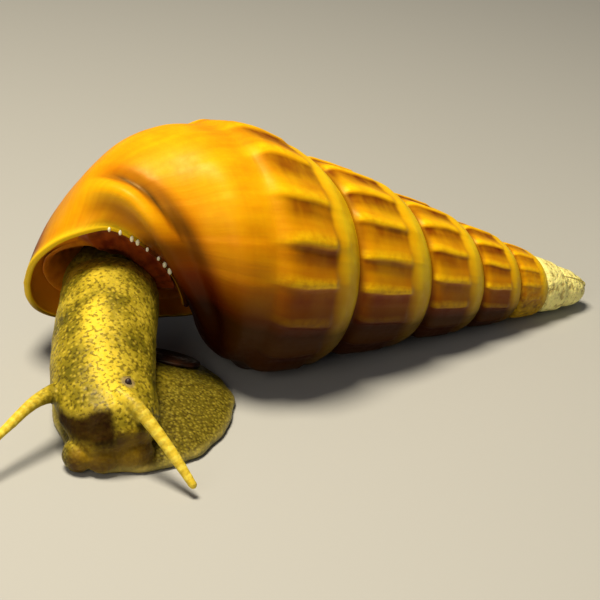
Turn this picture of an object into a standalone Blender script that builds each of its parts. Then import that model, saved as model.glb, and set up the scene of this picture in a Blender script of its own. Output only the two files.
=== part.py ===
# Freshwater tower snail, Brotia herculea, as a life-size museum model.
# The shell lies on its side with the apex to +X, and the animal reaches out of the mouth towards -Y.
# Metres, +Z up. The origin is the middle of the foot's sole, on the floor.

import math

import bmesh
import bpy
import numpy as np

for item in list(bpy.data.objects):
    bpy.data.objects.remove(item, do_unlink=True)

MM = 0.001

# Joint gap between neighbouring pieces.
GAP = 0.3 * MM
SHARP_ANGLE = math.radians(50.0)

# The shell's own frame: lengths run down the axis from the point where its cone would end.
APEX_POINT = (79.0 * MM, 8.0 * MM, 0.55 * MM)
SHELL_TILT = math.radians(12.4)
CONE_SLOPE = 0.21
WHORL_GROWTH = 1.332
LAST_WHORL_GROWTH = 1.25
MOUTH_ANGLE = math.radians(236.0)
MOUTH_SUTURE_RADIUS = 12.75 * MM
ROWS_PER_TURN = 64
TURNS = 6.5
APEX_TIP = 7.9 * MM
APEX_LOOPS = 4

# Whorl outline from one suture to the next: share of the way, radius over the suture's radius,
# and the same radius on the last half turn, whose shoulder is softer.
WHORL_OUTLINE = (
    (0.0, 1.0, 1.0), (0.07, 1.10, 1.06), (0.2, 1.19, 1.14), (0.45, 1.25, 1.23),
    (0.72, 1.30, 1.30), (0.92, 1.30, 1.30), (1.0, 1.25, 1.25),
)
# Turns back from the mouth between which the shoulder goes from soft to full.
SHOULDER_TURNS = (0.45, 0.75)

# Base of the last whorl below the line of the suture, at angles round the axis: radius and depth in mm.
BASE_OUTLINES = (
    (-124.0, ((12.2, 62.0), (11.5, 63.4), (10.8, 64.7), (10.2, 65.6), (9.8, 66.2))),
    (-60.0, ((12.9, 66.2), (11.2, 68.4), (9.4, 69.8), (7.5, 70.8), (6.0, 71.5))),
    (0.0, ((13.4, 70.2), (10.6, 73.2), (9.2, 75.6), (7.8, 77.6), (4.0, 77.0))),
    (45.0, ((13.6, 72.8), (10.6, 76.6), (9.4, 79.4), (8.1, 82.0), (3.4, 82.6))),
    (100.0, ((14.2, 75.2), (12.4, 79.2), (10.2, 82.4), (7.4, 85.0), (0.3, 86.8))),
    (150.0, ((15.0, 75.8), (13.2, 79.4), (10.3, 82.6), (7.1, 85.4), (0.1, 88.8))),
    (236.0, ((17.4, 78.6), (17.6, 81.6), (16.4, 84.4), (14.0, 86.7), (10.8, 88.4))),
)
BASE_STEPS = 16
# Above 1, the steps of the base draw together towards the inner lip.
BASE_CROWDING = 1.4

# The fold beside the inner lip: length from the lip's edge, spread and height, all in mm,
# and the angles round the axis between which it stands.
FOLD_WAVES = ((2.6, 1.5, -0.3), (5.2, 1.2, 0.35), (7.4, 1.0, -0.5))
FOLD_ANGLES = ((-70.0, 0.0), (-20.0, 1.0), (75.0, 1.0), (125.0, 0.0))
FOLD_FREE_LENGTH = 1.2

# Past this angle the inner lip crosses the axis in one line: angle, distance from the axis, depth in mm.
LIP_LINE_ANGLE = 60.0
LIP_DRIFT = 3
# Half the angle over which the lip's place is evened out, and the number of places that are averaged.
LIP_ROUNDING = math.radians(22.0)
LIP_SAMPLES = 17
LIP_LINE = (
    (60.0, 2.8, 84.0), (100.0, 0.5, 87.0), (150.0, -2.6, 88.9), (190.0, -6.2, 89.5), (236.0, -10.8, 88.4),
)

# Axial ribs: turns back from the mouth, ribs counted that far.
RIB_COUNT = (
    (0.0, 0.0), (0.536, 8.28), (0.704, 11.28), (1.484, 24.28), (1.712, 28.28), (2.5, 41.28),
    (2.692, 44.28), (3.568, 57.28), (3.708, 59.28), (4.556, 71.28), (4.684, 73.28), (8.0, 116.4),
)
RIB_HEIGHT = 0.045
RIB_SHARPNESS = 1.4
RIB_FREE_BAND = 0.12
RIB_RISE = 0.25
RIB_BASE_END = 1.05
RIB_BASE_FADE = 0.4
RIB_SMALLEST_RADIUS = 2.2 * MM
RIB_LIP_TURNS = 0.08

# Hollow of the mouth: an oval in the plane through the axis. The lip's rounded edge stands forward of it.
LIP_THICKNESS = 0.9 * MM
LIP_FORWARD = 0.3 * MM
HOLLOW_RADIUS = 9.2 * MM
HOLLOW_DEPTH = 75.5 * MM
HOLLOW_HALF_LONG = 11.2 * MM
HOLLOW_HALF_SHORT = 5.7 * MM
HOLLOW_LEAN = math.radians(-14.0)
HOLLOW_TURN = math.radians(95.0)
HOLLOW_LOOPS = 7
# Loops in which the wall goes from the lip's own shape to the oval.
HOLLOW_BLEND_LOOPS = 2

# Step in which slopes along the base are measured.
SLOPE_STEP = 0.2 * MM

# Where the shell is parted, as depths down the axis: each node from one depth to the next.
SHELL_NODES = ("shell_apex", "shell_spire_upper", "shell_spire_lower", "shell_body_whorl")
SHELL_PARTINGS = (None, 14.0 * MM, 27.5 * MM, 47.8 * MM, None)


def material(name, colour, roughness, coat=0.0):
    made = bpy.data.materials.new(name)
    made.use_nodes = True
    shader = made.node_tree.nodes["Principled BSDF"]
    shader.inputs["Base Color"].default_value = (*colour, 1.0)
    shader.inputs["Roughness"].default_value = roughness
    shader.inputs["Metallic"].default_value = 0.0
    shader.inputs["Coat Weight"].default_value = coat
    return made


def shade_round(mesh):
    mesh.shade_smooth()
    mesh.set_sharp_from_angle(angle=SHARP_ANGLE)


def add_object(name, points, faces, finish):
    mesh = bpy.data.meshes.new(name)
    mesh.from_pydata([tuple(point) for point in points], [], faces)
    mesh.materials.append(finish)
    made = bpy.data.objects.new(name, mesh)
    bpy.context.scene.collection.objects.link(made)
    tidy = bmesh.new()
    tidy.from_mesh(mesh)
    bmesh.ops.triangulate(tidy, faces=tidy.faces[:])
    bmesh.ops.recalc_face_normals(tidy, faces=tidy.faces[:])
    if tidy.calc_volume(signed=True) < 0.0:
        bmesh.ops.reverse_faces(tidy, faces=tidy.faces[:])
    tidy.to_mesh(mesh)
    tidy.free()
    shade_round(mesh)
    return made


def smooth_value(keys, values, where):
    """Value at where on the smooth curve that passes through values at keys."""
    keys = np.asarray(keys, float)
    values = np.asarray(values, float)
    slopes = np.gradient(values, keys, axis=0)
    here = min(max(where, keys[0]), keys[-1])
    left = min(int(np.searchsorted(keys, here, side="right")) - 1, len(keys) - 2)
    width = keys[left + 1] - keys[left]
    t = (here - keys[left]) / width
    return (
        (2 * t**3 - 3 * t**2 + 1) * values[left]
        + (t**3 - 2 * t**2 + t) * width * slopes[left]
        + (3 * t**2 - 2 * t**3) * values[left + 1]
        + (t**3 - t**2) * width * slopes[left + 1]
    )


AXIS = np.array([math.cos(SHELL_TILT), 0.0, -math.sin(SHELL_TILT)])
AXIS_UP = np.array([math.sin(SHELL_TILT), 0.0, math.cos(SHELL_TILT)])
AXIS_FRONT = np.array([0.0, -1.0, 0.0])


def radial(angle):
    return math.cos(angle) * AXIS_FRONT + math.sin(angle) * AXIS_UP


def shell_point(angle, radius, depth):
    return np.array(APEX_POINT) - AXIS * depth + radial(angle) * radius


def suture_radius(angle):
    turns_back = (MOUTH_ANGLE - angle) / math.tau
    early = math.log(WHORL_GROWTH)
    late = 2 * math.log(LAST_WHORL_GROWTH) - early
    if turns_back > 1.0:
        return MOUTH_SUTURE_RADIUS / LAST_WHORL_GROWTH * WHORL_GROWTH ** (1.0 - turns_back)
    return MOUTH_SUTURE_RADIUS * math.exp(-late * turns_back - (early - late) * turns_back**2 / 2)


def next_suture_radius(angle):
    if angle + math.tau <= MOUTH_ANGLE + 1e-9:
        return suture_radius(angle + math.tau)
    return suture_radius(angle) * LAST_WHORL_GROWTH


def between(share):
    return min(1.0, max(0.0, share))


def rib_relief(angle, across):
    """Share of the radius that a rib adds: none on the band below the suture, fading on the base."""
    turns_back = (MOUTH_ANGLE - angle) / math.tau
    counted = np.interp(turns_back, *zip(*RIB_COUNT))
    crest = (0.5 + 0.5 * math.cos(math.tau * counted)) ** RIB_SHARPNESS
    fade = between((across - RIB_FREE_BAND) / RIB_RISE)
    if turns_back < 1.0:
        fade *= between((RIB_BASE_END - across) / RIB_BASE_FADE)
    fade *= between(suture_radius(angle) / RIB_SMALLEST_RADIUS - 1.0)
    fade *= between(turns_back / RIB_LIP_TURNS)
    return RIB_HEIGHT * crest * fade


def whorl_point(angle, across):
    """Point on the whorl's side, across of the way from its upper suture to its lower one."""
    upper = suture_radius(angle)
    lower = next_suture_radius(angle)
    shares, full, soft = zip(*WHORL_OUTLINE)
    turns_back = (MOUTH_ANGLE - angle) / math.tau
    fullness = np.interp(turns_back, SHOULDER_TURNS, (0.0, 1.0))
    swell = np.interp(across, shares, full) * fullness + np.interp(across, shares, soft) * (1.0 - fullness)
    swell *= 1.0 + across * (lower / upper / full[-1] - 1.0)
    radius = upper * (swell + rib_relief(angle, across))
    depth = (upper + (lower - upper) * across) / CONE_SLOPE
    return shell_point(angle, radius, depth)


def lip_place(angle):
    """Point of the inner lip at an angle, on one or the other of its two curves."""
    degrees = math.degrees(angle)
    keys = [outline[0] for outline in BASE_OUTLINES]
    if degrees <= LIP_LINE_ANGLE:
        radius, depth = smooth_value(keys, [outline[1][-1] for outline in BASE_OUTLINES], degrees)
        return shell_point(angle, radius * MM, depth * MM)
    angles, distances, depths = zip(*LIP_LINE)
    distance = smooth_value(angles, distances, degrees) * MM
    depth = smooth_value(angles, depths, degrees) * MM
    return shell_point(MOUTH_ANGLE - math.pi, distance, depth)


def lip_end(angle):
    """The inner lip at an angle, evened out: radius, sidestep and depth in the row's plane."""
    reach = min(LIP_ROUNDING, MOUTH_ANGLE - angle, angle - (MOUTH_ANGLE - math.tau))
    total = 0.0
    place = np.zeros(3)
    for share in np.linspace(-1.0, 1.0, LIP_SAMPLES):
        weight = math.cos(share * math.pi / 2) ** 2 + 1e-6
        place += lip_place(angle + share * reach) * weight
        total += weight
    offset = place / total - np.array(APEX_POINT)
    return np.dot(offset, radial(angle)), np.dot(offset, radial(angle + math.pi / 2)), -np.dot(offset, AXIS)


def fold_height(angle, length):
    """Height of the fold at a length from the inner lip."""
    strength = np.interp(math.degrees(angle), *zip(*FOLD_ANGLES)) * between(length / MM / FOLD_FREE_LENGTH)
    height = 0.0
    for place, spread, full_height in FOLD_WAVES:
        height += full_height * MM * math.exp(-(((length / MM - place) / spread) ** 2))
    return strength * height


def base_row(angle):
    """Points of the base from below the suture line to the inner lip."""
    degrees = math.degrees(angle)
    keys = [outline[0] for outline in BASE_OUTLINES]
    inner = smooth_value(keys, [outline[1][:-1] for outline in BASE_OUTLINES], degrees) * MM
    lower = next_suture_radius(angle)
    start = np.array([lower, lower / CONE_SLOPE])
    end_radius, end_side, end_depth = lip_end(angle)
    route = np.vstack([[start], inner, [[end_radius, end_depth]]])
    spans = np.linalg.norm(np.diff(route, axis=0), axis=1)
    along = np.concatenate([[0.0], np.cumsum(spans)])
    points = []
    for step in range(1, BASE_STEPS + 1):
        share = 1.0 - (1.0 - step / BASE_STEPS) ** BASE_CROWDING
        radius, depth = smooth_value(along, route, share * along[-1])
        slope = smooth_value(along, route, share * along[-1] + SLOPE_STEP) - (radius, depth)
        slope /= max(np.linalg.norm(slope), SLOPE_STEP / 10)
        height = fold_height(angle, (1.0 - share) * along[-1])
        side = radial(angle + math.pi / 2) * end_side * share**LIP_DRIFT
        points.append(shell_point(angle, radius + slope[1] * height, depth - slope[0] * height) + side)
    return points


def hollow_frame(turn):
    """Centre and half axes of the hollow's oval, turned back from the mouth."""
    angle = MOUTH_ANGLE - turn
    scale = suture_radius(angle) / MOUTH_SUTURE_RADIUS
    centre = shell_point(angle, HOLLOW_RADIUS * scale, HOLLOW_DEPTH * scale)
    outward = radial(angle)
    long_way = math.cos(HOLLOW_LEAN) * -AXIS + math.sin(HOLLOW_LEAN) * outward
    short_way = math.cos(HOLLOW_LEAN) * outward - math.sin(HOLLOW_LEAN) * -AXIS
    return centre, long_way * HOLLOW_HALF_LONG * scale, short_way * HOLLOW_HALF_SHORT * scale


def oval_point(turn, around, inset=0.0):
    centre, long_half, short_half = hollow_frame(turn)
    long_length = np.linalg.norm(long_half)
    short_length = np.linalg.norm(short_half)
    return (
        centre
        + long_half * (1.0 - inset / long_length) * math.cos(around)
        + short_half * (1.0 - inset / short_length) * math.sin(around)
    )


def inward_from(point, centre, distance):
    offset = centre - point
    return point + offset / np.linalg.norm(offset) * distance


def hollow_loop(rim_points, turn, inset=0.0):
    """The hollow's wall round the rim's points, turned back from the mouth."""
    centre, long_half, short_half = hollow_frame(0.0)
    step = HOLLOW_TURN / HOLLOW_LOOPS
    blend = min(1.0, turn / step / HOLLOW_BLEND_LOOPS)
    loop = []
    for point in rim_points:
        offset = point - centre
        long_share = np.dot(offset, long_half) / np.dot(long_half, long_half)
        short_share = np.dot(offset, short_half) / np.dot(short_half, short_half)
        place = math.atan2(short_share, long_share)
        lip = inward_from(point, centre, LIP_THICKNESS + inset)
        deep = inward_from(oval_point(turn, place), hollow_frame(turn)[0], inset)
        loop.append(lip * (1.0 - blend) + deep * blend)
    return loop


def build_shell():
    across = [share for share, _, _ in WHORL_OUTLINE]
    last = len(across) - 1
    rows = round(TURNS * ROWS_PER_TURN)
    mouth_start = rows - ROWS_PER_TURN
    points = []
    grid = []
    for row in range(rows + 1):
        angle = MOUTH_ANGLE - math.tau * (rows - row) / ROWS_PER_TURN
        line = []
        for column, share in enumerate(across):
            if row <= mouth_start and column == last:
                line.append(None)
                continue
            points.append(whorl_point(angle, share))
            line.append(len(points) - 1)
        if row >= mouth_start:
            for point in base_row(angle):
                points.append(point)
                line.append(len(points) - 1)
        grid.append(line)
    for row in range(mouth_start + 1):
        grid[row][last] = grid[row + ROWS_PER_TURN][0]
    faces = []
    for line, following in zip(grid, grid[1:]):
        for column in range(min(len(line), len(following)) - 1):
            faces.append((line[column], line[column + 1], following[column + 1], following[column]))

    opening = [grid[row][0] for row in range(ROWS_PER_TURN + 1)] + grid[0][-2:0:-1]
    opening_points = [points[index] for index in opening]
    tip_point = shell_point(0.0, 0.0, APEX_TIP)
    previous = opening
    for loop in range(1, APEX_LOOPS):
        rise = math.pi / 2 * loop / APEX_LOOPS
        first = len(points)
        for corner in opening_points:
            height = AXIS * np.dot(corner - tip_point, AXIS)
            flat = corner - tip_point - height
            points.append(tip_point + flat * math.cos(rise) + height * (1.0 - math.sin(rise)))
        current = list(range(first, len(points)))
        for index in range(len(opening)):
            after = (index + 1) % len(opening)
            faces.append((previous[index], previous[after], current[after], current[index]))
        previous = current
    points.append(tip_point)
    for index in range(len(opening)):
        faces.append((len(points) - 1, previous[index], previous[(index + 1) % len(opening)]))

    rim = grid[mouth_start][last:]
    rim += [line[-1] for line in grid[mouth_start + 1 :]]
    rim += grid[rows][-2:0:-1]
    rim_points = [points[index] for index in rim]
    centre = hollow_frame(0.0)[0]
    growing = radial(MOUTH_ANGLE + math.pi / 2)
    edge = [inward_from(point, centre, LIP_THICKNESS / 2) + growing * LIP_FORWARD for point in rim_points]
    loops = [edge]
    for step in range(HOLLOW_LOOPS + 1):
        loops.append(hollow_loop(rim_points, HOLLOW_TURN * step / HOLLOW_LOOPS))
    previous = rim
    for loop in loops:
        first = len(points)
        points.extend(loop)
        current = list(range(first, len(points)))
        for index in range(len(rim)):
            after = (index + 1) % len(rim)
            faces.append((previous[index], previous[after], current[after], current[index]))
        previous = current
    points.append(hollow_frame(HOLLOW_TURN)[0])
    back = len(points) - 1
    for index in range(len(rim)):
        faces.append((previous[index], previous[(index + 1) % len(rim)], back))

    for point in points:
        point[2] = max(point[2], 0.0)
    return points, faces, rim_points


def part_shell(points, faces, finish):
    """The shell is made whole and parted by planes square to its axis."""
    for name, near, far in zip(SHELL_NODES, SHELL_PARTINGS, SHELL_PARTINGS[1:]):
        made = add_object(name, points, faces, finish)
        cut = bmesh.new()
        cut.from_mesh(made.data)
        for depth, keeps_far in ((near, True), (far, False)):
            if depth is None:
                continue
            place = depth + (GAP / 2 if keeps_far else -GAP / 2)
            geometry = cut.verts[:] + cut.edges[:] + cut.faces[:]
            result = bmesh.ops.bisect_plane(
                cut,
                geom=geometry,
                dist=1e-7,
                plane_co=shell_point(0.0, 0.0, place),
                plane_no=AXIS,
                clear_outer=keeps_far,
                clear_inner=not keeps_far,
            )
            edges = [item for item in result["geom_cut"] if isinstance(item, bmesh.types.BMEdge)]
            bmesh.ops.holes_fill(cut, edges=edges, sides=0)
        bmesh.ops.triangulate(cut, faces=cut.faces[:])
        bmesh.ops.recalc_face_normals(cut, faces=cut.faces[:])
        cut.to_mesh(made.data)
        cut.free()
        shade_round(made.data)


SHELL_FINISH = material("shell_periostracum", (0.62, 0.30, 0.03), 0.35, 0.3)
SHELL_POINTS, SHELL_FACES, RIM_POINTS = build_shell()
part_shell(SHELL_POINTS, SHELL_FACES, SHELL_FINISH)

# The animal. Half widths and half heights go with the points of the middle line, in mm.
BODY_SIDES = 20
BODY_START_TURN = math.radians(28.0)
BODY_START_SHIFT = 1.0 * MM
BODY_LINE = (
    (1.8, 13.4, 9.9),
    (-0.6, 8.0, 9.7),
    (-3.4, 2.4, 8.5),
    (-5.8, -3.0, 7.1),
    (-7.2, -7.3, 6.0),
    (-7.6, -10.3, 5.0),
    (-7.8, -12.1, 4.3),
    (-7.8, -13.6, 3.7),
)
BODY_WIDTHS = (5.6, 5.7, 5.9, 6.0, 6.0, 5.8, 5.5, 5.0, 3.9)
BODY_HEIGHTS = (3.8, 4.2, 5.4, 5.5, 4.9, 4.3, 4.1, 3.5, 2.3)
# Share of the length in which the body turns from the hollow's slant to level.
BODY_LEVEL_SHARE = 0.25
NECK_END = 0.50
HEAD_END = 0.885
# Share of the length left out on each side of a parting, and in which directions are measured.
BODY_PARTING = 0.005
BODY_SLOPE_STEP = 0.01
NECK_STEPS = 9
HEAD_STEPS = 8
SNOUT_STEPS = 5
CUTTER_STEPS = 24
# The snout's mouth notch, below its end.
MOUTH_NOTCH = 0.22
MOUTH_NOTCH_START = 0.88
MOUTH_NOTCH_SHARPNESS = 8
# The snout's end is a low dome.
SNOUT_REACH = 0.8 * MM
SNOUT_LOOPS = 3

# The sole is flat on the floor; the back of the foot rises to the neck.
FOOT_OUTLINE = (
    (-12.2, -8.8), (-11.6, -12.2), (-6.9, -14.8), (-1.0, -14.8), (4.4, -12.2), (9.2, -7.2),
    (11.8, -1.6), (11.0, 5.4), (6.0, 10.8), (-1.0, 12.0), (-6.6, 8.6), (-10.2, 1.0),
)
FOOT_POINTS = 48
# Share of the outline and height in mm, from the sole up over the edge to the back.
FOOT_LEVELS = (
    (0.94, 0.0), (0.99, 0.35), (1.0, 0.8), (0.96, 1.3), (0.84, 1.9), (0.62, 2.7), (0.38, 3.6), (0.18, 4.2),
)

# Tentacles: a root on the head as share of the body's length and angle round it, then points in mm.
TENTACLES = {
    "left": ((0.88, 92.0), ((-6.1, -13.8, 7.7), (-4.2, -17.4, 4.9), (-2.4, -21.0, 1.6))),
    "right": ((0.78, 4.0), ((-15.4, -7.0, 6.6), (-19.0, -9.0, 5.4), (-22.6, -11.2, 4.0))),
}
TENTACLE_RADII = {"left": (1.15, 0.85, 0.68, 0.48), "right": (1.15, 0.76, 0.58, 0.4)}
TENTACLE_SPLIT = 0.5
TENTACLE_PARTING = 0.012
TENTACLE_SLOPE_STEP = 0.02
TENTACLE_SIDES = 10
TENTACLE_BASE_STEPS = 5
TENTACLE_TIP_STEPS = 6
TENTACLE_ROOT_DEPTH = 0.6 * MM
TENTACLE_TIP_SHRINK = 0.55
EYES = {"left": (0.855, 106.0), "right": (0.775, -18.0)}
EYE_RADIUS = 0.6 * MM
EYE_RISE = 0.15 * MM
EYE_SEGMENTS = 14
EYE_RINGS = 9

OPERCULUM_CENTRE = (6.4, 5.6, 2.6)
OPERCULUM_FACING = (0.22, 0.19, 0.96)
OPERCULUM_HALF_LONG = 4.3 * MM
OPERCULUM_HALF_SHORT = 3.4 * MM
OPERCULUM_THICKNESS = 0.6 * MM
OPERCULUM_SIDES = 24
# Share of the thickness from the middle, and share of the width there.
OPERCULUM_LEVELS = ((-0.5, 0.9), (0.0, 1.0), (0.5, 0.85))

# Mantle: a collar inside the lip, and behind it the body that fills the whorl; turns in degrees.
COLLAR_TURNS = (2.5, 13.571, 27.143, 29.0)
COLLAR_INSET = 0.45 * MM
COLLAR_THICKNESS = 1.0 * MM
MANTLE_TURNS = (31.0, 40.714, 54.286, 67.857, 81.429, 90.0)
MANTLE_SIDES = 30
MANTLE_INSET = 0.42 * MM


def unit(vector):
    return vector / np.linalg.norm(vector)


def loop_faces(loops, sides, close_ends=True):
    """Faces over loops of points numbered one after another."""
    faces = []
    for loop in range(loops - 1):
        for side in range(sides):
            after = (side + 1) % sides
            low, high = loop * sides, (loop + 1) * sides
            faces.append((low + side, low + after, high + after, high + side))
    if close_ends:
        faces.append(tuple(range(sides))[::-1])
        faces.append(tuple((loops - 1) * sides + side for side in range(sides)))
    return faces


def body_route():
    """Middle line of neck, head and snout, with its first cross and forward directions."""
    centre, long_half, _ = hollow_frame(BODY_START_TURN)
    start = centre + unit(long_half) * BODY_START_SHIFT
    line = np.vstack([[start], np.array(BODY_LINE) * MM])
    spans = np.linalg.norm(np.diff(line, axis=0), axis=1)
    along = np.concatenate([[0.0], np.cumsum(spans)])
    along /= along[-1]
    return along, line, unit(long_half), radial(MOUTH_ANGLE - BODY_START_TURN + math.pi / 2)


def body_ring(share, grow=0.0):
    along, line, start_across, start_forward = body_route()
    centre = smooth_value(along, line, share)
    ahead = smooth_value(along, line, min(1.0, share + BODY_SLOPE_STEP))
    behind = smooth_value(along, line, max(0.0, share - BODY_SLOPE_STEP))
    forward = unit(ahead - behind)
    width = smooth_value(along, BODY_WIDTHS, share) * MM + grow
    height = smooth_value(along, BODY_HEIGHTS, share) * MM + grow
    level = unit(np.cross(forward, (0.0, 0.0, 1.0)))
    turned = min(1.0, share / BODY_LEVEL_SHARE)
    forward = unit(start_forward * (1.0 - turned) + forward * turned)
    across = unit(start_across * (1.0 - turned) + level * turned)
    across = unit(across - forward * np.dot(across, forward))
    upward = np.cross(across, forward)
    notch = MOUTH_NOTCH * between((share - MOUTH_NOTCH_START) / (1.0 - MOUTH_NOTCH_START))
    ring = []
    for side in range(BODY_SIDES):
        angle = math.tau * side / BODY_SIDES
        dent = 1.0 - notch * max(0.0, math.cos(angle - 1.5 * math.pi)) ** MOUTH_NOTCH_SHARPNESS
        ring.append(centre + (across * width * math.cos(angle) + upward * height * math.sin(angle)) * dent)
    return ring


def body_length(name, start, end, steps, grow=0.0):
    """One length of the body; the one that reaches the snout's end is closed with a dome."""
    rings = [body_ring(start + (end - start) * step / steps, grow) for step in range(steps + 1)]
    if end == 1.0:
        centre = sum(rings[-1]) / BODY_SIDES
        forward = unit(centre - sum(rings[-2]) / BODY_SIDES)
        edge = rings[-1]
        for loop in range(1, SNOUT_LOOPS + 1):
            rise = math.pi / 2 * loop / (SNOUT_LOOPS + 1)
            reach = forward * (SNOUT_REACH + grow) * math.sin(rise)
            rings.append([centre + (point - centre) * math.cos(rise) + reach for point in edge])
    points = [point for ring in rings for point in ring]
    return add_object(name, points, loop_faces(len(rings), BODY_SIDES), FLESH_FINISH)


def tube(name, line, radii, start, end, steps):
    """One length of a tapering round feeler along a smooth line; its last ring is drawn in at the tip."""
    line = np.array(line) * MM
    keys = np.linspace(0.0, 1.0, len(line))
    points = []
    for step in range(steps + 1):
        share = start + (end - start) * step / steps
        centre = smooth_value(keys, line, share)
        ahead = smooth_value(keys, line, min(1.0, share + TENTACLE_SLOPE_STEP))
        forward = unit(ahead - smooth_value(keys, line, max(0.0, share - TENTACLE_SLOPE_STEP)))
        radius = smooth_value(keys, radii, share) * MM
        if share == 1.0:
            radius *= TENTACLE_TIP_SHRINK
        across = unit(np.cross(forward, (0.0, 0.0, 1.0)))
        upward = np.cross(across, forward)
        for side in range(TENTACLE_SIDES):
            angle = math.tau * side / TENTACLE_SIDES
            points.append(centre + across * radius * math.cos(angle) + upward * radius * math.sin(angle))
    return add_object(name, points, loop_faces(steps + 1, TENTACLE_SIDES), TENTACLE_FINISH)


def cut_away(target, cutter):
    """Boolean cut, applied, with the cutter kept only if it is a piece of its own."""
    modifier = target.modifiers.new("cut", "BOOLEAN")
    modifier.operation = "DIFFERENCE"
    modifier.solver = "EXACT"
    modifier.object = cutter
    graph = bpy.context.evaluated_depsgraph_get()
    mesh = bpy.data.meshes.new_from_object(target.evaluated_get(graph))
    target.modifiers.clear()
    target.data = mesh
    keep_largest(target)


def keep_largest(target):
    """Drops every closed surface of the mesh but the largest."""
    work = bmesh.new()
    work.from_mesh(target.data)
    bmesh.ops.remove_doubles(work, verts=work.verts[:], dist=1e-7)
    unseen = set(work.verts)
    groups = []
    while unseen:
        stack = [unseen.pop()]
        group = set(stack)
        while stack:
            for edge in stack.pop().link_edges:
                for vertex in edge.verts:
                    if vertex in unseen:
                        unseen.discard(vertex)
                        group.add(vertex)
                        stack.append(vertex)
        groups.append(group)
    groups.sort(key=len)
    for group in groups[:-1]:
        bmesh.ops.delete(work, geom=list(group), context="VERTS")
    bmesh.ops.triangulate(work, faces=work.faces[:])
    work.to_mesh(target.data)
    work.free()
    shade_round(target.data)


FLESH_FINISH = material("speckled_flesh", (0.40, 0.33, 0.04), 0.4, 0.4)
TENTACLE_FINISH = material("banded_tentacle", (0.60, 0.50, 0.10), 0.4, 0.4)
EYE_FINISH = material("dark_eye", (0.03, 0.02, 0.04), 0.15, 0.6)
MANTLE_FINISH = material("dark_mantle", (0.16, 0.05, 0.01), 0.35, 0.5)
OPERCULUM_FINISH = material("horny_operculum", (0.10, 0.04, 0.02), 0.45)


def ring_place(share, degrees, rise):
    """Point on the body at a share of its length and an angle round it, raised off the skin."""
    ring = body_ring(share)
    centre = sum(ring) / len(ring)
    spot = smooth_value(range(BODY_SIDES + 1), ring + ring[:1], (degrees / 360.0 % 1.0) * BODY_SIDES)
    return spot + unit(spot - centre) * rise


def make_body():
    body_length("neck", 0.0, NECK_END - BODY_PARTING, NECK_STEPS)
    body_length("head", NECK_END + BODY_PARTING, HEAD_END - BODY_PARTING, HEAD_STEPS)
    body_length("snout", HEAD_END + BODY_PARTING, 1.0, SNOUT_STEPS)
    return body_length("body_cutter", 0.0, 1.0, CUTTER_STEPS, GAP)


def make_foot(cutters):
    keys = np.linspace(0.0, 1.0, len(FOOT_OUTLINE) + 1)
    outline = np.array(FOOT_OUTLINE + FOOT_OUTLINE[:1]) * MM
    points = []
    for share, height in FOOT_LEVELS:
        for step in range(FOOT_POINTS):
            edge = smooth_value(keys, outline, step / FOOT_POINTS)
            points.append((edge[0] * share, edge[1] * share, height * MM))
    foot = add_object("foot", points, loop_faces(len(FOOT_LEVELS), FOOT_POINTS), FLESH_FINISH)
    for cutter in cutters:
        cut_away(foot, cutter)


def make_tentacles(body_cutter):
    for side, ((share, degrees), line) in TENTACLES.items():
        root = tuple(ring_place(share, degrees, -TENTACLE_ROOT_DEPTH) / MM)
        route = (root,) + line
        base_end = TENTACLE_SPLIT - TENTACLE_PARTING
        tip_start = TENTACLE_SPLIT + TENTACLE_PARTING
        radii = TENTACLE_RADII[side]
        base = tube(f"tentacle_{side}_base", route, radii, 0.0, base_end, TENTACLE_BASE_STEPS)
        cut_away(base, body_cutter)
        tube(f"tentacle_{side}_tip", route, radii, tip_start, 1.0, TENTACLE_TIP_STEPS)


def make_eyes(body_cutter):
    for side, (share, degrees) in EYES.items():
        bpy.ops.mesh.primitive_uv_sphere_add(
            segments=EYE_SEGMENTS,
            ring_count=EYE_RINGS,
            radius=EYE_RADIUS,
            location=ring_place(share, degrees, EYE_RISE),
        )
        eye = bpy.context.object
        eye.name = f"eye_{side}"
        eye.data.materials.append(EYE_FINISH)
        cut_away(eye, body_cutter)


def make_operculum(name, grow=0.0):
    """A thin oval plate of horn that lies on the back of the foot."""
    facing = unit(np.array(OPERCULUM_FACING))
    across = unit(np.cross(facing, (facing[0], facing[1], 0.0)))
    upward = np.cross(facing, across)
    points = []
    for level, shrink in OPERCULUM_LEVELS:
        for step in range(OPERCULUM_SIDES):
            angle = math.tau * step / OPERCULUM_SIDES
            points.append(
                np.array(OPERCULUM_CENTRE) * MM
                + across * (OPERCULUM_HALF_LONG * shrink + grow) * math.cos(angle)
                + upward * (OPERCULUM_HALF_SHORT * shrink + grow) * math.sin(angle)
                + facing * level * (OPERCULUM_THICKNESS + 2 * grow)
            )
    return add_object(name, points, loop_faces(len(OPERCULUM_LEVELS), OPERCULUM_SIDES), OPERCULUM_FINISH)


def make_mantle(rim_points):
    """A collar that lines the lip, open through the middle, and the body that fills the whorl behind it."""
    sides = len(rim_points)
    loops = [hollow_loop(rim_points, math.radians(turn), COLLAR_INSET) for turn in COLLAR_TURNS]
    for turn in reversed(COLLAR_TURNS):
        loops.append(hollow_loop(rim_points, math.radians(turn), COLLAR_INSET + COLLAR_THICKNESS))
    points = [point for loop in loops for point in loop]
    faces = loop_faces(len(loops), sides, False)
    last = (len(loops) - 1) * sides
    for side in range(sides):
        after = (side + 1) % sides
        faces.append((last + side, last + after, after, side))
    add_object("mantle_edge", points, faces, MANTLE_FINISH)

    points = []
    for turn in MANTLE_TURNS:
        for side in range(MANTLE_SIDES):
            points.append(oval_point(math.radians(turn), math.tau * side / MANTLE_SIDES, MANTLE_INSET))
    add_object("mantle", points, loop_faces(len(MANTLE_TURNS), MANTLE_SIDES), MANTLE_FINISH)


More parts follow.
